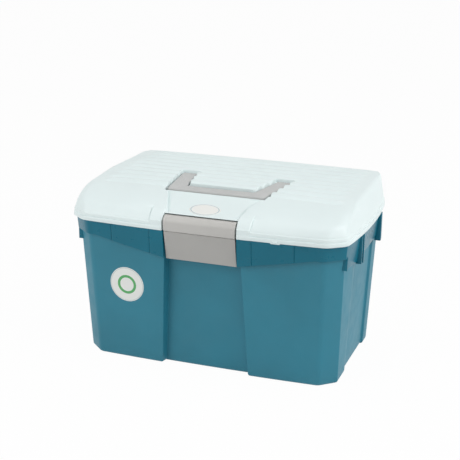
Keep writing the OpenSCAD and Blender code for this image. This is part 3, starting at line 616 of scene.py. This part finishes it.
# Lid
# The lid is one moulding in pale mint polypropylene: an upright rim with a fine step, a front that slopes up
# to a top of shallow cross ribs, a well for the handle, and a flat front panel between two raised cheeks.
DOME_HALF = np.array([198.0, 132.0])
DOME_R = 36.0
CROWN_R = 12.0
REAR_CROWN_R = 5.0
FACET = np.array([18.5, 21.5]) / math.hypot(18.5, 21.5)
FACET_AT = 1.015
FACET_SOFT = 0.045
DROOP = 0.15
DROOP_FROM = 15.0
DROOP_RUN = 75.0
DOME_Z = 211.0
DOME_H = 32.6
DOME_EASE = 0.7
DOME_POWER = 2.5
SIDE_LEAN = 9.0
REAR_LEAN = 5.0
SHOULDER = 7.0
SHOULDER_FROM = 0.8
REAR_CRISP = 0.6
CRISP_FROM = 70.0
CRISP_RUN = 40.0
HALVINGS = 24
LID_SIDE_BOW = 10.0
LID_FRONT_BOW = 8.0
BOW_LOSS = 0.7
BOW_RUN = 16.0
FLAT_FRONT = 20.0
RING_IN = 24.0
LID_WALL = 3.0
PAN_T = 2.4
PAN_LEAN = 1.08
WELL_Z = 229.8
WELL_FRONT = -76.2
WELL_REAR = 19.5
WELL_HALF = [70.4, 81.4]
ISLAND_HALF = [47.4, 57.5]
KNEE_Y = 9.5
POCKET_REAR = -47.0
PANEL_TOP = (-78.6, 238.33)
PANEL_LOW = (-122.97, 221.09)
PANEL_Y = [PANEL_LOW[0], -120.5, -112.0, -100.0, PANEL_TOP[0]]
PANEL_HALF = [51.4, 50.0, 52.6, 56.3, 65.0]
PANEL_FLANK = [1.4, 2.7, 1.95, 0.9, 0.6]
PANEL_GROOVE = 1.6
GROOVE_IN = 3.0
GROOVE_OUT = 0.8
GROOVE_FADE = 6.0
PANEL_BACK = -112.8
LATCH_PIN = np.array([-123.5, 211.0])
ROLL_ROOM = (10.1, 10.7)
CHEEK_X = 69.5
CHEEK_Y = [-104.0, -82.0]
CHEEK_EASE = 0.8
CHEEK_FROM = 110.0
CHEEK_FADE = 12.0
CHEEK_H = 1.4
CHEEK_GROOVE = 1.5
CHEEK_GROOVE_AT = 1.0
CHEEK_GROOVE_HALF = 0.9
CHEEK_OUT = 1.4
RIB_PITCH = 20.0
RIB_REAR = 117.0
RIB_FRONT = -63.0
RIB_H = 1.7
RIB_VALLEY = 1.0
RIB_HALF = 173.0
RIB_FADE = 12.0
TOOTH = 6.0
TOOTH_W = 1.7
TOOTH_RUN = 0.4
EDGE_RUN = 0.6
EDGE_STEPS = np.array([-2.0, -1.2, -0.7, -0.35, 0.0, 0.35, 0.7, 1.2, 2.0])
RIDGE_STEPS = np.array([-1.5, -0.8, -0.4, 0.0, 0.4, 0.8])
# Rows of the lid's grid between its pressed edges: places along Y, and the number of steps after each
ROWS = [[(-95.5, 7), (-81.0, 0)], [(-74.0, 5), (-63.0, 8), (-43.0, 3), (-39.0, 0)],
        [(-33.0, 4), (-23.0, 8), (-3.0, 6), (15.0, 0)],
        [(25.0, 5), (37.0, 8), (57.0, 8), (77.0, 8), (95.5, 0)]]
CLOSE_FROM = 88.0
CLOSE = 0.8
FAN_COUNT = 15.0
FAN_POWER = 6
SHOULDER_X = 162.0
NOTCH_Y = [-85.0, -60.0]
NOTCH_REAR = 38.0
# Rings from the grid out to the dome's foot: distance in from the foot
BAND = [22.0, 20.5, 19.0, 18.0, 17.0, 16.0, 15.0, 14.0, 12.5, 11.0, 9.5, 8.0, 6.6, 5.3, 4.1, 3.0, 2.1,
        1.4, 0.8, 0.4, 0.15, 0.0]
# The rim below the dome's foot: how far out, and the height
RIM_OUTSIDE = [(0.1, 210.75), (0.45, 210.5), (0.95, 210.2), (1.15, 209.6), (1.2, 206.4), (0.75, 206.0),
               (0.8, 205.5), (1.6, 205.2), (1.9, 204.7), (2.0, 203.5), (2.0, 200.9), (1.75, 199.95),
               (1.1, 199.6)]
RIM_INSIDE = [(-0.8, 199.6), (-1.5, 199.85), (-1.8, 200.5), (-2.4, 204.0)]
# The small tab under the rim: two blocks from corner to corner, with the radius of their edges
TAB = [((96.5, -131.5, 198.3), (109.5, -129.7, 201.5), 0.85),
       ((99.5, -132.9, 200.3), (106.5, -130.8, 202.3), 0.9)]
LID_WEB = [(128.0, RIM_Z + 0.3), (HINGE_Y, RIM_Z - 0.3), (HINGE_Y, RIM_Z + 4.4), (128.0, RIM_Z + 8.5)]


def inner_edge(y):
    """Half width of the front panel, which flares towards the handle, then of the island between the arms."""
    return np.interp(y, [*PANEL_Y, POCKET_REAR, KNEE_Y], [*PANEL_HALF, *ISLAND_HALF])


def outer_edge(y):
    """Half width of the raised cheeks, then of the well round the handle."""
    return np.interp(y, [*CHEEK_Y, WELL_FRONT, KNEE_Y], [CHEEK_X, WELL_HALF[0], *WELL_HALF])


def edge(distance, run=EDGE_RUN):
    """Share of a pressed wall at a distance inside it."""
    return ease(0.5 + distance / (2.0 * run))


def corner_past(u, v, r):
    """How far a place is outside a corner of the lid: a flat facet that meets both sides in soft edges."""
    past = np.stack([u - r, v - r, FACET[0] * u + FACET[1] * v - FACET_AT * r])
    top = past.max(axis=0)
    soft = FACET_SOFT * r
    return top + soft * np.log(np.exp((past - top) / soft).sum(axis=0))


def highest(low, high, holds):
    """The highest values between two limits for which a test still holds."""
    for _ in range(HALVINGS):
        middle = (low + high) / 2
        kept = holds(middle)
        low, high = np.where(kept, middle, low), np.where(kept, high, middle)
    return low


def facet_reach(away):
    """How far the dome's foot is from the middle of its corner in a direction."""
    u, v = np.abs(away).T
    ends = [np.full(len(away), DOME_R * share) for share in (0.5, 1.5)]
    return highest(*ends, lambda reach: corner_past(reach * u, reach * v, DOME_R) <= 0.0)


def dome_share(x, y, grow):
    """Share of the dome's height over a place in plan: the highest level whose outline still holds it."""
    crisp = 1.0 - REAR_CRISP * ease((y - CRISP_FROM) / CRISP_RUN)

    def holds(level):
        turn = np.maximum(0.0, level - SHOULDER_FROM) / (1.0 - SHOULDER_FROM)
        round_in = SHOULDER * crisp * (1.0 - np.sqrt(1.0 - turn * turn))
        side = DOME_HALF[0] - SIDE_LEAN * level - round_in - grow
        rear = DOME_HALF[1] - REAR_LEAN * level - round_in / 2 - grow
        curve = (1.0 - level ** (1.0 / DOME_EASE)) ** (1.0 / DOME_POWER)
        front = FLAT_FRONT - grow + (DOME_HALF[1] - FLAT_FRONT) * curve
        r = DOME_R + np.where(y > 0.0, (REAR_CROWN_R - DOME_R) * np.sqrt(level), (CROWN_R - DOME_R) * level)
        v = np.abs(y - (rear - front) / 2) - (rear + front) / 2 + r
        return corner_past(np.abs(x) - side + r, v, r) <= 0.0

    return highest(np.zeros(len(x)), np.ones(len(x)), holds)


def lid_height(x, y, grow, drop):
    """Height of the lid's outside, or of its inside when it has grown and dropped by a wall."""
    wide = np.abs(x)
    thick = PAN_T if grow else 0.0
    inner = inner_edge(y)
    droop = DROOP * (wide / DOME_HALF[0]) ** 4 * ease((DROOP_FROM - y) / DROOP_RUN)
    z = DOME_Z + DOME_H * dome_share(x, y, grow) * (1.0 - droop)
    if grow == 0.0:
        share = (RIB_REAR - y) / RIB_PITCH
        scallop = 1.0 - (2.0 * (share - np.floor(share)) - 1.0) ** 2
        ribbed = (y > RIB_FRONT - TOUCH) & (y < RIB_REAR + TOUCH)
        z = z + ((RIB_H + RIB_VALLEY) * scallop - RIB_VALLEY) * ribbed * ease((RIB_HALF - wide) / RIB_FADE)
        to_well = np.minimum(np.abs(wide - outer_edge(y)), np.abs(wide - inner))
        z = z - TOOTH * ribbed * (1.0 - scallop) * (y < WELL_REAR) * edge(TOOTH_W - to_well, TOOTH_RUN)
        line = np.maximum(0.0, 1.0 - np.abs(wide - CHEEK_X - CHEEK_GROOVE_AT) / CHEEK_GROOVE_HALF)
        cheek = CHEEK_H * edge(CHEEK_X - wide, CHEEK_EASE) - CHEEK_GROOVE * line
        z = z + cheek * ease((-y - CHEEK_FROM) / CHEEK_FADE)
    z = z - drop
    run = np.clip((PANEL_TOP[0] - y) / (PANEL_TOP[0] - PANEL_LOW[0]), 0.0, 1.0)
    slope = PANEL_TOP[1] + (PANEL_LOW[1] - PANEL_TOP[1]) * run - PAN_LEAN * thick
    flank = np.interp(y, PANEL_Y, PANEL_FLANK)
    panel = edge(inner + thick - wide, flank) * edge(PANEL_TOP[0] + thick - y)
    if grow == 0.0:
        down = inner - flank - wide
        groove = np.maximum(0.0, 1.0 - np.where(down > 0.0, down / GROOVE_IN, -down / GROOVE_OUT))
        slope = slope - PANEL_GROOVE * groove * ease((y - PANEL_LOW[0]) / GROOVE_FADE)
    z = z + (np.minimum(slope, z) - z) * panel
    well = edge(outer_edge(np.maximum(y, WELL_FRONT)) + thick - wide)
    well = well * edge(y - WELL_FRONT + thick) * edge(WELL_REAR + thick - y)
    island = edge(inner_edge(np.maximum(y, POCKET_REAR)) - thick - wide) * edge(y - POCKET_REAR - thick)
    return z + (np.minimum(WELL_Z - thick, z) - z) * well * (1.0 - island)


def lid_bowed(x, y):
    """The bulge of the lid's sides, which fades towards its top."""
    past = corner_past(np.abs(x) - DOME_HALF[0] + DOME_R, np.abs(y) - DOME_HALF[1] + DOME_R, DOME_R)
    keep = 1.0 - BOW_LOSS * ease(-past / BOW_RUN)
    return bow(x, y, DOME_HALF, LID_SIDE_BOW * keep, LID_FRONT_BOW * keep)


def lid_rows(thick):
    """Places of the grid's rows over the lid, and where each row meets the lid's side."""
    straight, near = DOME_HALF[1] - DOME_R, DOME_R - RING_IN
    corner = np.linspace(straight + near, straight + 2.0, 9)
    corner_edge = straight + near * np.sin(np.radians(np.linspace(45.0, 0.0, 9)))
    rows = [y for stretch in ROWS for y in steps(*stretch)]
    rows += [*(PANEL_TOP[0] + thick + RIDGE_STEPS), *(WELL_FRONT - thick - RIDGE_STEPS)]
    rows += [*(POCKET_REAR + thick + EDGE_STEPS), *(WELL_REAR + thick + EDGE_STEPS)]
    rows = np.sort(np.array(rows))
    far = np.abs(rows)
    beside = np.where(far > CLOSE_FROM, np.sign(rows) * (CLOSE_FROM + CLOSE * (far - CLOSE_FROM)), rows)
    pairs = (corner, rows), (corner_edge, beside)
    return [np.concatenate([-end, middle, end[::-1]]) for end, middle in pairs]


def lid_columns(y, side_x, thick):
    """Places of the grid's columns along half a row, close together at each pressed edge."""
    inner = float(inner_edge(y)) + (thick if y < POCKET_REAR + thick else -thick)
    outer = float(outer_edge(y)) + thick
    notch = float(np.interp(y, NOTCH_Y, [RECESS_TOP_X + thick, NOTCH_REAR]))
    close = np.sort(np.concatenate([notch + 0.35 * EDGE_STEPS, inner + 1.3 * EDGE_STEPS]))
    columns = [*steps((0.0, 8), (close[0] - 7.0, 12), (close[0], 0))[:-1], *close]
    columns += [*steps((close[-1], 5), (outer - 2.0, 0))[1:-1], *(outer + EDGE_STEPS)]
    columns += [*steps((outer + 2.0, 7), (SHOULDER_X, 0))[1:]]
    eighth = math.radians(45.0)
    share = np.sin(eighth * np.arange(1, 9) / 8.0) / math.sin(eighth)
    columns += [*(SHOULDER_X + (side_x - SHOULDER_X) * share)]
    return np.array(columns)


def lid_sheet(grow, drop):
    """Outside or inside of the dome: a grid over the top, then rings out to its foot."""
    thick = PAN_T if grow else 0.0
    straight = DOME_HALF - DOME_R
    near = DOME_R - RING_IN
    rows, beside = lid_rows(thick)
    over = np.maximum(np.abs(beside) - straight[1], 0.0)
    side_x = straight[0] + np.sqrt(np.maximum(near * near - over * over, 0.0))
    grid = []
    for j, y in enumerate(rows):
        half_row = lid_columns(y, side_x[j], thick)
        share = np.clip(1.0 - (len(half_row) - 1 - np.arange(len(half_row))) / FAN_COUNT, 0.0, 1.0)
        ys = y + (beside[j] - y) * share ** FAN_POWER
        if j in (0, len(rows) - 1):
            past = np.maximum(half_row - straight[0], 0.0)
            ys = np.sign(y) * (straight[1] + np.sqrt(np.maximum(near * near - past * past, 0.0)))
        xs = np.concatenate([-half_row[:0:-1], half_row])
        grid.append(np.stack([xs, np.concatenate([ys[:0:-1], ys])], axis=1))
    grid = np.array(grid)
    height, width = grid.shape[:2]
    index = np.arange(height * width).reshape(height, width)
    border = np.concatenate([index[0, :], index[1:, -1], index[-1, -2::-1], index[-2:0:-1, 0]])
    flat = grid.reshape(-1, 2)
    wide = np.abs(flat[border, 0])
    on_front = (np.arange(len(border)) < width) & (wide < straight[0])
    middle = np.clip(flat[border], -straight, straight)
    away = flat[border] - middle
    away = away / np.linalg.norm(away, axis=1)[:, None]
    notch = on_front * edge(RECESS_TOP_X + thick - wide)
    cheek = on_front * (1.0 - notch) * edge(CHEEK_X - wide, CHEEK_EASE) * (0.0 if grow else CHEEK_OUT)
    end = PANEL_BACK + thick if grow else PANEL_LOW[0]
    reach = facet_reach(away) - grow
    foot = reach + cheek
    foot = foot + (-end - straight[1] - foot) * notch
    shares = [(RING_IN - inset) / RING_IN for inset in BAND]
    rings = [middle + away * (near + (foot - near) * share)[:, None] for share in shares]
    solid = [np.stack([*lid_bowed(*r.T), lid_height(*r.T, grow, drop)], axis=1) for r in [flat] + rings]
    full = np.stack(lid_bowed(*(middle + away * reach[:, None]).T), axis=1)
    ahead = np.roll(full, -1, axis=0) - np.roll(full, 1, axis=0)
    out = np.stack([ahead[:, 1], -ahead[:, 0]], axis=1)
    out = out / np.linalg.norm(out, axis=1)[:, None]
    return {"grid": solid[0], "rings": solid[1:], "index": index, "border": border, "out": out,
            "notch": notch, "cheek": cheek}


def lid_shell():
    """The lid as one closed skin: top, sides and rim, then back up the inside."""
    outside = lid_sheet(0.0, 0.0)
    inside = lid_sheet(LID_WALL, LID_WALL)
    rings = list(outside["rings"])
    foot = rings[-1]
    notch, cheek = outside["notch"], outside["cheek"]
    # Behind the roll of the latch the front panel curls under and runs down as an upright wall
    curl = np.radians(np.linspace(87.0, 0.0, 9))
    reach = np.linspace(*ROLL_ROOM, 9)
    room = [tuple(LATCH_PIN + r * np.array([math.cos(t), math.sin(t)])) for r, t in zip(reach, curl)]
    room += [(PANEL_BACK, z) for z in (207.0, 203.0, 200.6, RIM_Z)]
    for (out, z), (room_y, room_z) in zip(RIM_OUTSIDE, room):
        plan = foot[:, :2] + outside["out"] * (np.maximum(out, cheek) - cheek)[:, None]
        y = plan[:, 1] + (room_y - plan[:, 1]) * notch
        rings.append(np.stack([plan[:, 0], y, z + (room_z - z) * notch], axis=1))
    foot = inside["rings"][-1]
    for out, z in RIM_INSIDE:
        share = (z - RIM_Z) / (DOME_Z - LID_WALL - RIM_Z)
        plan = foot[:, :2] + outside["out"] * ((out + LID_WALL) * (1.0 - notch))[:, None]
        rings.append(np.column_stack([plan, RIM_Z + (foot[:, 2] - RIM_Z) * share]))
    rings += list(inside["rings"])[::-1]
    top, under = outside["grid"], inside["grid"]
    n = len(outside["border"])
    points = np.concatenate([top, under] + rings)
    faces = []
    for start, sheet in ((0, outside), (len(top), inside)):
        index = sheet["index"] + start
        for row, following in zip(index, index[1:]):
            faces += [(row[i], row[i + 1], following[i + 1], following[i]) for i in range(len(row) - 1)]
    loops = [outside["border"]]
    loops += [len(top) + len(under) + k * n + np.arange(n) for k in range(len(rings))]
    loops.append(inside["border"] + len(top))
    return points, [tuple(int(i) for i in face) for face in faces] + bridged(loops)


lid_parts = [lid_shell()] + [rounded_block(*block) for block in TAB]
for side in (-1, 1):
    lid_parts += knuckle(side * HINGE_X, LID_KNUCKLE_L, LID_WEB)
lid_plastic = moulded("mint_lid", MINT, 0.02, 0.42, 1.0, 0.06)
lid = piece("lid_moulding", joined(lid_parts), lid_plastic, 32.0)
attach(lid, "lid")
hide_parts("lid")

# Oval label
# A plain oval of white film, with a fine line inside its edge, is stuck to the flat panel above the latch.
OVAL_HALF = (21.5, 12.0)
OVAL_DOWN = 0.68
OVAL_MIDDLE = (0.0, PANEL_TOP[0] + (PANEL_LOW[0] - PANEL_TOP[0]) * OVAL_DOWN,
               PANEL_TOP[1] + (PANEL_LOW[1] - PANEL_TOP[1]) * OVAL_DOWN)
OVAL_LEAN = math.atan2(PANEL_TOP[1] - PANEL_LOW[1], PANEL_TOP[0] - PANEL_LOW[0])
OVAL_LINE = (0.42, 0.55, 0.60, 1.0)
# The oval from the middle of its face round its edge to the back: share of its size, and height
OVAL_PROFILE = [(0.05, 0.5), (0.6, 0.5), (0.93, 0.5), (0.98, 0.46), (1.0, 0.3), (1.0, 0.0), (0.05, 0.0)]
oval_rings = []
for share, height in OVAL_PROFILE:
    x = OVAL_HALF[0] * share * np.cos(around)
    v = OVAL_HALF[1] * share * np.sin(around)
    y = OVAL_MIDDLE[1] + v * math.cos(OVAL_LEAN) - height * math.sin(OVAL_LEAN)
    z = OVAL_MIDDLE[2] + v * math.sin(OVAL_LEAN) + height * math.cos(OVAL_LEAN)
    oval_rings.append(np.stack([x, y, z], axis=1))
oval_film = film("oval_film", OVAL_MIDDLE, [(0.0, PAPER_WHITE), (0.415, OVAL_LINE), (0.445, PAPER_WHITE)],
                 OVAL_HALF[1] / OVAL_HALF[0])
oval_label = piece("oval_film_disc", skin(oval_rings), oval_film)
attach(oval_label, "lid")
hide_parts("oval_label")

# Latch
# One warm grey moulding: a rolled top that turns on the pin between the cheeks, a flap that hangs over the
# tub's recess, and a hook behind it that snaps under the ledge.
LATCH_HALF = 49.5
LATCH_PIN_R = 2.5
ROLL_R = 9.5
ROLL_FLAT = 0.9
BELLY = 0.8
FLAP_L = 41.0
FLAP_T = 2.6
FLAP_LEAN = 8.5
FLAP_STEP = 1.3
CREASE_TOP = (2.4, -0.5)
CREASE_LOW = (0.1, 1.7)
HOOK_GAP = 0.3
HOOK_H = 7.0
HOOK_OUT = 7.0
HOOK_NOSE = 2.0
LATCH_EDGE = 0.5
WARM_GREY = (0.545, 0.535, 0.512)
# How dark the painted shade on the latch's flap is, below the roll
FLAP_PAINTED_SHADE = 0.79


def latch_outline():
    """Section of the latch, from the back of its roll over the front and down to the hook."""
    turn = np.radians(np.linspace(70.0, 180.0, 25))
    reach = ROLL_R - ROLL_FLAT * ease((np.radians(125.0) - turn) / np.radians(35.0))
    roll = reach[:, None] * np.stack([np.cos(turn), np.sin(turn)], axis=1)
    share = np.linspace(0.0, 1.0, 15)[1:]
    belly = np.stack([BELLY * share * share - ROLL_R, -(LATCH_PIN[1] - RIM_Z) * share], axis=1)
    front = np.concatenate([roll, belly]) + LATCH_PIN
    face = front[-1] + (FLAP_STEP, 0.0)
    low = RIM_Z - FLAP_L
    root = face[0] + FLAP_T
    hook_top = FLANGE_Z - FLANGE_T - HOOK_GAP
    hook_low = hook_top - HOOK_H
    rest = [front[-1] + CREASE_TOP, face - CREASE_LOW, (face[0] + FLAP_LEAN, low), (root + FLAP_LEAN, low),
            (root + FLAP_LEAN * (RIM_Z - hook_low) / FLAP_L, hook_low),
            (root + HOOK_OUT, hook_top - HOOK_NOSE), (root + HOOK_OUT, hook_top), (root, hook_top),
            (root, RIM_Z), (LATCH_PIN[0], LATCH_PIN[1] - LATCH_PIN_R - FLAP_T),
            (LATCH_PIN[0] + 2.0 * LATCH_PIN_R, LATCH_PIN[1])]
    return np.concatenate([front, np.array(rest)])


def painted_shade_below(material, height, share):
    """Painted shade: a darker copy of a moulding's colour below a height, standing in for shade that falls
    there.
    """
    tree = material.node_tree
    shader = tree.nodes["Principled BSDF"]
    colour = shader.inputs["Base Color"].links[0].from_socket
    split = node(tree, "SeparateXYZ", node(tree, "TexCoord").outputs["Object"])
    fade = node(tree, "MapRange", split.outputs["Z"], From_Min=(height - 1.5) * MM,
                From_Max=(height + 0.5) * MM, To_Min=share, To_Max=1.0)
    painted_shade_colour = node(tree, "VectorMath", colour, operation="SCALE", Scale=fade.outputs["Result"])
    feed(tree, shader, Base_Color=painted_shade_colour.outputs["Vector"])


latch_section = latch_outline()
latch_ends = [np.insert(latch_section, 0, x, axis=1) for x in (-LATCH_HALF, LATCH_HALF)]
grey_plastic = moulded("warm_grey", WARM_GREY, 0.04, 0.38, 0.9, 0.07)
# Painted shade: the flap below the rim is coloured darker to stand in for the shade under the roll
painted_shade_below(grey_plastic, RIM_Z, FLAP_PAINTED_SHADE)
latch = piece("latch_moulding", skin(latch_ends), grey_plastic)
bevel = latch.modifiers.new("rounded", "BEVEL")
bevel.width = LATCH_EDGE * MM
bevel.segments = 3
bevel.limit_method = "ANGLE"
bevel.angle_limit = math.radians(35.0)
bevel.harden_normals = True
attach(latch, "latch")
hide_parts("latch")

# Latch pin
# A length of drawn wire through the roll of the latch, held in the cheeks.
lo, hi = [np.array(corner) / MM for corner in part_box("latch_pin")]
latch_pin = piece("wire_latch_pin", round_bar(LATCH_PIN_R, float(lo[0]), float(hi[0]), *LATCH_PIN, 0.3), wire)
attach(latch_pin, "lid")
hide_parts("latch_pin")

# Handle
# The carry handle is a flat U in the same warm grey: two arms that end on pins in the lid, and a front bar.
# Its edges are rounded for the hand, and fine lines run along its arms.
HANDLE_FRONT = -75.0
HANDLE_BAR = 23.0
ARM_W = 21.0
HANDLE_FRONT_X = 69.0
HANDLE_REAR_X = 80.0
PIVOT = np.array([14.0, 236.8])
HANDLE_T = 9.0
HANDLE_EDGE = 1.5
HANDLE_KNEE = PIVOT[0] - HANDLE_T / 2
LINE_COUNT = 6
LINE_DEPTH = 0.25
OUTER_R = 6.0
INNER_R = 3.0
OUTER_CORNER = np.array([HANDLE_FRONT_X - OUTER_R, HANDLE_FRONT + OUTER_R])
INNER_CORNER = np.array([HANDLE_FRONT_X - ARM_W - 2.4, HANDLE_FRONT + HANDLE_BAR + INNER_R])
HANDLE_GREY = (0.510, 0.518, 0.512)


def handle_rail(rear_x, corner, r):
    """An edge of the right half of the handle: its rear end, its arm, its corner and half of its bar."""
    back = PIVOT[0] + HANDLE_T / 2 * np.sin(np.radians(np.linspace(84.0, 0.0, 12)))
    arm = np.linspace((rear_x, HANDLE_KNEE), corner + (r, 0.0), 16)
    turn = np.linspace(0.0, math.pi / 2, 9)[1:]
    bend = corner + r * np.stack([np.cos(turn), -np.sin(turn)], axis=1)
    bar = np.linspace(bend[-1], bend[-1] * (0.0, 1.0), 9)[1:]
    return np.concatenate([np.column_stack([np.full(len(back), rear_x), back]), arm, bend, bar])


def handle_section(outer, inner):
    """One rounded section of the handle between its outer and its inner edge."""
    width = float(np.linalg.norm(inner - outer))
    past = max(0.0, float(outer[1]) - PIVOT[0])
    half = math.sqrt(max(0.05, (HANDLE_T / 2) ** 2 - past * past))
    r = min(HANDLE_EDGE, half * 0.9)
    turn = np.radians(np.linspace(0.0, 90.0, 6))
    across = np.linspace(r, width - r, 37)[1:-1]
    lines = LINE_DEPTH * np.maximum(0.0, np.cos((across / width - 0.5) * 2.0 * math.pi * LINE_COUNT)) ** 4
    path = [(r - r * math.cos(t), half - r + r * math.sin(t)) for t in turn]
    path += [(d, half - line) for d, line in zip(across, lines)]
    path += [(width - r + r * math.sin(t), half - r + r * math.cos(t)) for t in turn]
    path += [(width - r + r * math.cos(t), r - half - r * math.sin(t)) for t in turn]
    path += [(d, -half) for d in across[::-1]]
    path += [(r - r * math.sin(t), r - half - r * math.cos(t)) for t in turn]
    along = (inner - outer) / width
    return np.array([[outer[0] + along[0] * d, outer[1] + along[1] * d, PIVOT[1] + z] for d, z in path])


rail_out = handle_rail(HANDLE_REAR_X, OUTER_CORNER, OUTER_R)
rail_in = handle_rail(HANDLE_REAR_X - ARM_W, INNER_CORNER, INNER_R)
handle_rings = [handle_section(o, i) for o, i in zip(rail_out, rail_in)]
for ring in handle_rings[-2::-1]:
    handle_rings.append(ring * (-1.0, 1.0, 1.0))
handle_plastic = moulded("warm_grey_handle", HANDLE_GREY, 0.03, 0.36, 0.8, 0.06)
handle = piece("handle_moulding", skin(handle_rings), handle_plastic, 40.0)
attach(handle, "handle")
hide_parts("handle")

# Handle pins
# A short wire pin through each arm of the handle, held in both walls of the lid's well.
HANDLE_PIN_R = 2.5
for name in ("handle_pin_left", "handle_pin_right"):
    lo, hi = [np.array(corner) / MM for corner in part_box(name)]
    pin = piece("wire_" + name, round_bar(HANDLE_PIN_R, float(lo[0]), float(hi[0]), *PIVOT, 0.3), wire)
    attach(pin, "lid")
    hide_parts(name)

# Studio
# The box stands on a white sweep of paper under a wide soft light from the upper right, one overhead and
# a fill from the left.
CAMERA_TURN = math.radians(19.644)
CAMERA_LIFT = math.radians(16.869)
CAMERA_ROLL = math.radians(0.76)
CAMERA_PLACE = (0.48644, -1.37375, 0.61078)
LENS_PIXELS = 1082.07
FRAME_PIXELS = 460.0
SENSOR = 36.0
WHITE = (1.0, 1.0, 1.0, 1.0)
FLOOR_HALF = 15
PAPER_GLOW = 0.97
SKY_LIGHT = 0.36


def stand(obj, x, y, z, place):
    """Turns an object to three axes and sets it at a place."""
    obj.matrix_world = Matrix([[x[k], y[k], z[k], place[k]] for k in range(3)] + [[0.0, 0.0, 0.0, 1.0]])


camera_data = bpy.data.cameras.new("camera")
camera_data.sensor_width = SENSOR
camera_data.lens = LENS_PIXELS / FRAME_PIXELS * SENSOR
camera = placed("camera", camera_data)
level, rise = math.cos(CAMERA_LIFT), math.sin(CAMERA_LIFT)
back = np.array([math.sin(CAMERA_TURN) * level, -math.cos(CAMERA_TURN) * level, rise])
right = np.array([math.cos(CAMERA_TURN), math.sin(CAMERA_TURN), 0.0])
up = np.cross(back, right)
across = math.cos(CAMERA_ROLL) * right + math.sin(CAMERA_ROLL) * up
above = math.cos(CAMERA_ROLL) * up - math.sin(CAMERA_ROLL) * right
stand(camera, across, above, back, CAMERA_PLACE)
bpy.context.scene.camera = camera


def white_paper():
    """White paper that the camera sees as almost white, and that keeps the box's soft shadow."""
    material, tree, shader = blank("white_paper")
    tree.nodes.remove(shader)
    paper = node(tree, "BsdfDiffuse", Color=(0.86, 0.86, 0.86, 1.0))
    glow = node(tree, "Emission", Color=WHITE, Strength=1.0)
    seen = node(tree, "LightPath").outputs
    direct = node(tree, "Math", seen["Is Camera Ray"], seen["Is Glossy Ray"], operation="MAXIMUM")
    part = node(tree, "Math", direct.outputs[0], PAPER_GLOW, operation="MULTIPLY")
    mix = node(tree, "MixShader", part.outputs[0], paper.outputs[0], glow.outputs[0])
    feed(tree, tree.nodes["Material Output"], Surface=mix.outputs[0])
    return material


floor_mesh = bpy.data.meshes.new("paper_floor")
corners = [(FLOOR_HALF * x, FLOOR_HALF * y, 0) for x, y in ((-1, -1), (1, -1), (1, 1), (-1, 1))]
floor_mesh.from_pydata(corners, [], [(0, 1, 2, 3)])
floor_mesh.materials.append(white_paper())
floor = placed("paper_floor", floor_mesh)

world = bpy.data.worlds.new("studio")
world.use_nodes = True
bpy.context.scene.world = world
sky = world.node_tree
ray = node(sky, "LightPath").outputs
shown = node(sky, "Math", ray["Is Camera Ray"], ray["Is Glossy Ray"], operation="MAXIMUM")
clear = node(sky, "Math", shown.outputs[0], ray["Is Transmission Ray"], operation="MAXIMUM")
strength = node(sky, "MapRange", clear.outputs[0], To_Min=SKY_LIGHT, To_Max=1.0)
feed(sky, sky.nodes["Background"], Color=WHITE, Strength=strength.outputs["Result"])


def soft_light(name, place, target, size, watts):
    """A square soft light that faces a point."""
    data = bpy.data.lights.new(name, "AREA")
    data.shape = "SQUARE"
    data.size = size
    data.energy = watts
    z = np.array(place) - np.array(target)
    z = z / np.linalg.norm(z)
    x = np.cross((0.0, 0.0, 1.0), z)
    x = x / np.linalg.norm(x)
    stand(placed(name, data), x, np.cross(z, x), z, place)


soft_light("key_light", (2.0, -0.2, 1.3), (0.0, 0.0, 0.12), 1.3, 25.0)
soft_light("fill_light", (-0.95, -1.2, 0.8), (-0.1, 0.0, 0.12), 1.0, 8.0)
soft_light("top_light", (-0.2, -0.2, 2.2), (0.0, 0.0, 0.12), 1.4, 8.5)
bpy.context.scene.view_settings.view_transform = "Standard"
